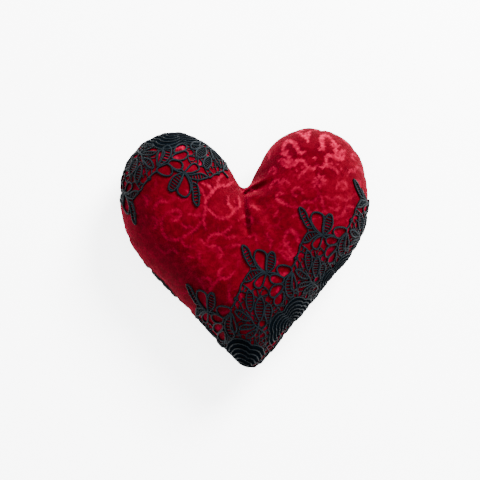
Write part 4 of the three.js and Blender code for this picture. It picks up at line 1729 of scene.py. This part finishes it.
def finish_piece(obj: bpy.types.Object, material: bpy.types.Material, slot: Slot, *nodes: str) -> bpy.types.Object:
    """Gives a piece its material and its place in the frame, and hides the CAD nodes it stands for.

    Args:
        obj: The piece.
        material: Its material.
        slot: Its material slot; not used.
        *nodes: The CAD nodes it replaces.

    Returns:
        The piece.
    """
    obj.data.materials.append(material)
    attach(obj, "root")
    if nodes:
        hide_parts(*nodes)
    return obj


@dataclass
class Cloth:
    """The two panels of the heart.

    Attributes:
        cushion: The surface.
        palette: The finishes.
    """

    cushion: Cushion
    palette: Palette

    def _panel(self, grid: Array, side: int, thickness: float) -> tuple[Solid, int]:
        """A panel's closed shell: its outside, the allowance turned in at the seam, and its inside.

        Args:
            grid: The panel's outside.
            side: 1 for the front, -1 for the back.
            thickness: The cloth's thickness.

        Returns:
            The shell, and how many of its points belong to the outside.
        """
        normal = Cushion.normals(grid, side)
        seam = grid[-1]
        inward = np.array([*SIZE.heart, 0.0]) - seam
        inward[:, 2] = 0
        inward /= np.linalg.norm(inward, axis=1, keepdims=True)
        near, far = side * 0.18, side * (0.18 + thickness)
        outer = grid[1:].copy()
        outer[-1, :, 2] += side * 0.06
        turned = [seam + inward * 0.8 + [0, 0, near], seam + inward * SIZE.allowance + [0, 0, near],
                  seam + inward * SIZE.allowance + [0, 0, far], seam + inward * 2.6 * thickness + [0, 0, far]]
        coarse = np.linspace(1, grid.shape[0] - 5, 14).astype(int)[::-1]
        inner = grid[coarse] - normal[coarse] * thickness
        if side > 0:
            inner[..., 2] = np.maximum(inner[..., 2] - self.cushion.over[coarse], SIZE.seam_height + 0.6)
        rings = np.concatenate([outer, np.array(turned), inner])
        ends = np.stack([grid[0, 0], grid[0, 0] - np.array([0, 0, side * thickness])])
        solid = Solid()
        faces = capped_faces(len(rings), grid.shape[1])
        plan = np.vstack([rings.reshape(-1, 3), ends])
        solid.add(plan, faces if side < 0 else faces[:, ::-1], plan[:, :2] / 10)
        return solid, outer.shape[0] * outer.shape[1]

    @staticmethod
    def painted_light(plan: Array) -> Array:
        """Painted light: where the figure is shown as lit, on the right lobe, round the cleft and at the left lobe's
        top.

        Args:
            plan: Points, two columns.

        Returns:
            0 to 1.
        """
        lobe = np.exp(-(((plan[:, 0] - 36) / 30) ** 2 + ((plan[:, 1] - 62) / 21) ** 2))
        cleft = 0.4 * np.exp(-(((plan[:, 0] + 1) / 20) ** 2 + ((plan[:, 1] - 30) / 13) ** 2))
        slope = 0.16 * np.exp(-(((plan[:, 0] + 14) / 12) ** 2 + ((plan[:, 1] - 27) / 20) ** 2))
        left = 0.42 * np.exp(-(((plan[:, 0] + 37) / 22) ** 2 + ((plan[:, 1] - 54) / 11) ** 2))
        return np.clip(lobe + cleft + slope + left, 0, 1)

    def build(self) -> None:
        """Makes both panels."""
        solid, _ = self._panel(self.cushion.front, 1, SIZE.velvet)
        plan = np.vstack(solid.points)[:, :2]
        # the velvet carries its figure and the painted light that brightens it
        front = solid.build("front_velvet", {"figure": damask(plan), "painted_light": self.painted_light(plan)})
        finish_piece(front, self.palette.velvet, Slot.VELVET, "front_cover")
        solid, _ = self._panel(self.cushion.back, -1, SIZE.backing)
        back = solid.build("back_cloth")
        finish_piece(back, self.palette.backing, Slot.BACKING, "back_cover")


@dataclass
class Filling:
    """The wad of fibre inside.

    Attributes:
        cushion: The surface.
        palette: The finishes.
    """

    cushion: Cushion
    palette: Palette

    def build(self) -> None:
        """Makes the wad: both surfaces moved in by 2.2 mm, further at the cleft, and pinched at the allowances."""
        pick = np.linspace(1, Cushion.FINE_RINGS - 1, 44).astype(int)[:-1]
        places = slice(0, Cushion.FINE_STEPS, 3)
        parts = []
        cleft = Cushion.cleft_share(self.cushion.seam)[places]
        square = self.cushion.inward()[places]
        for grid, side in ((self.cushion.front, 1), (self.cushion.back, -1)):
            surface = (grid - Cushion.normals(grid, side) * 2.2)[pick][:, places]
            lump = np.sin(surface[..., 0] / 3.1) * np.sin(surface[..., 1] / 3.7) * 0.35
            surface[..., 2] += side * (lump - 0.35)
            if side > 0:
                surface[..., 2] -= self.cushion.over[pick][:, places]
            keep = SIZE.seam_height + side * 2.0
            surface[..., 2] = np.maximum(surface[..., 2], keep) if side > 0 else np.minimum(surface[..., 2], keep)
            near = np.exp(-np.linalg.norm(grid[pick][:, places] - grid[-1:, places], axis=2) / 7.0)
            surface[..., :2] += square[None] * (3.4 * near * cleft[None])[..., None]
            parts.append(surface)
        seam = self.cushion.front[-1, places]
        inward = np.array([*SIZE.heart, SIZE.seam_height]) - seam
        inward /= np.linalg.norm(inward, axis=1, keepdims=True)
        pinched = seam + inward * (SIZE.allowance + 0.8 + 4.0 * cleft)[:, None]
        pinch = [pinched + [0, 0, 2.0], pinched - [0, 0, 2.0]]
        rings = np.concatenate([parts[0], np.array(pinch), parts[1][::-1]])
        ends = np.stack([parts[0][0].mean(axis=0), parts[1][0].mean(axis=0)])
        solid = Solid()
        solid.add(np.vstack([rings.reshape(-1, 3), ends]), capped_faces(len(rings), rings.shape[1])[:, ::-1])
        wad = solid.build("filling_fibre")
        finish_piece(wad, self.palette.fibre, Slot.FIBRE, "filling")


@dataclass
class Threads:
    """The seam's thread and the closing stitches.

    Attributes:
        cushion: The surface.
        palette: The finishes.
    """

    cushion: Cushion
    palette: Palette

    def build(self) -> None:
        """Makes both threads."""
        seam = self.cushion.front[-1]
        out = seam - np.array([*SIZE.heart, 0.0])
        out[:, 2] = 0
        out /= np.linalg.norm(out, axis=1, keepdims=True)
        solid = Solid()
        up = np.broadcast_to([0.0, 0.0, 1.0], seam.shape)
        add_tube(solid, seam - out * 0.42, up, 0.15, 0.13, 8, closed=True)
        finish_piece(solid.build("seam_stitching"), self.palette.thread, Slot.THREAD, "seam_thread")
        first = int(np.argmin(np.linalg.norm(seam[:, :2] - np.array([-55.5, -8.5]), axis=1)))
        last = int(np.argmin(np.linalg.norm(seam[:, :2] - np.array([-37.8, -27.5]), axis=1)))
        s = np.linspace(first, last, 181)
        low = np.floor(s).astype(int)
        part = (s - low)[:, None]
        line = seam[low] * (1 - part) + seam[low + 1] * part
        away = out[low]
        wave = np.clip(np.sin(np.linspace(0, 9 * 2 * np.pi, 181)) * 2.4, -1, 1)
        path = line + away * (0.12 + 0.12 * (1 - np.abs(wave)))[:, None] + np.array([0, 0, 1]) * (wave * 0.75)[:, None]
        solid = Solid()
        add_tube(solid, path, away, 0.16, 0.16, 8)
        finish_piece(solid.build("closing_ladder_stitch"), self.palette.thread, Slot.THREAD, "closing_stitches")


@dataclass
class LaceTrim:
    """Both lengths of lace and the stitches that hold them.

    Attributes:
        front: The cushion's front.
        palette: The finishes.
    """

    front: FrontMap
    palette: Palette

    def build(self) -> None:
        """Makes each length as six pieces, and its tacks one by one."""
        for place in LACE_PLACES:
            length = LaceLength(place, LaidLace(self.front, place))
            node = f"lace_{place.name}"
            for part, solid, material in (
                ("cords", length.cords(), self.palette.cord),
                ("bars", length.bars(), self.palette.bar),
                ("satin_bands", length.bands(), self.palette.satin),
                ("welts", length.welts(), self.palette.cord),
                ("caught_hem", length.hem(), self.palette.cord),
                ("knots", length.knots(), self.palette.cord),
            ):
                piece = solid.build(f"{node}_{part}")
                LOG.info("%s: %d faces", piece.name, len(piece.data.polygons))
                finish_piece(piece, material, Slot.LACE, node)
            for name, repeat, spot in place.tacks:
                stitch = length.tack(repeat, spot).build(name.replace("tack", "stitch"))
                finish_piece(stitch, self.palette.thread, Slot.THREAD, name)


# ---------------------------------------------------------------------------------------------------------------------
# Studio
# ---------------------------------------------------------------------------------------------------------------------
@dataclass(frozen=True)
class Lamp:
    """A soft lamp.

    Attributes:
        name: Its name.
        place: Where it stands, in metres.
        size: Its side, in metres.
        power: Its power, in watts.
        colour: Its colour.
    """

    name: str
    place: tuple[float, float, float]
    size: float
    power: float
    colour: tuple[float, float, float] = (1.0, 1.0, 1.0)


LAMPS = (
    Lamp("window", (0.55, 0.75, 0.75), 0.5, 95.0, (1.0, 0.99, 0.975)),
    Lamp("ceiling", (-0.1, 0.0, 1.3), 1.4, 22.0, (0.97, 0.985, 1.0)),
)
AIM = (-2.5, 3.9, 24.0)
LEAN = (-0.035, -0.05)
LENS, REACH = 75.0, 0.2667


def build_studio(material: bpy.types.Material) -> None:
    """Adds the surface, the lamps, the world's light and the camera.

    Args:
        material: The surface's finish.
    """
    solid = Solid()
    corners = np.array([[-4e3, -4e3, 0.0], [4e3, -4e3, 0.0], [4e3, 4e3, 0.0], [-4e3, 4e3, 0.0]])
    solid.add(corners, np.array([[0, 1, 2, 3]]))
    floor = solid.build("surface")
    floor.data.materials.append(material)
    aim = np.array([AIM[0] + SIZE.shift[0], AIM[1] + SIZE.shift[1], AIM[2]]) * MM
    for lamp in LAMPS:
        data = bpy.data.lights.new(lamp.name, "AREA")
        data.shape, data.size, data.energy, data.color = "DISK", lamp.size, lamp.power, lamp.colour
        light = bpy.data.objects.new(lamp.name, data)
        light.matrix_world = looking(np.array(lamp.place), aim)
        bpy.context.scene.collection.objects.link(light)
    world = bpy.data.worlds.new("studio")
    world.use_nodes = True
    world.node_tree.nodes["Background"].inputs[0].default_value = (0.93, 0.96, 1.0, 1.0)
    world.node_tree.nodes["Background"].inputs[1].default_value = 1.1
    bpy.context.scene.world = world
    data = bpy.data.cameras.new("camera")
    data.lens, data.sensor_width = LENS, 36.0
    camera = bpy.data.objects.new("camera", data)
    back = np.array([*LEAN, 1.0])
    back /= np.linalg.norm(back)
    camera.matrix_world = looking(aim + back * REACH * LENS / 36.0, aim)
    bpy.context.scene.collection.objects.link(camera)
    bpy.context.scene.camera = camera


def looking(place: Array, target: Array) -> Matrix:
    """The matrix of a camera or lamp that looks from a place at a target, with +Y up in its picture.

    Args:
        place: Where it stands.
        target: What it looks at.

    Returns:
        The matrix.
    """
    back = (place - target) / np.linalg.norm(place - target)
    right = np.cross([0.0, 1.0, 0.0], back)
    right /= np.linalg.norm(right)
    up = np.cross(back, right)
    rows = np.eye(4)
    rows[:3, 0], rows[:3, 1], rows[:3, 2], rows[:3, 3] = right, up, back, place
    return Matrix(rows.tolist())


def main() -> None:
    """Builds the heart and its studio."""
    logging.basicConfig(level=logging.INFO)
    palette = Palette()
    cushion = Cushion.make()
    Cloth(cushion, palette).build()
    Filling(cushion, palette).build()
    Threads(cushion, palette).build()
    LaceTrim(FrontMap(cushion), palette).build()
    build_studio(palette.surface)


if __name__ == "__main__":
    main()
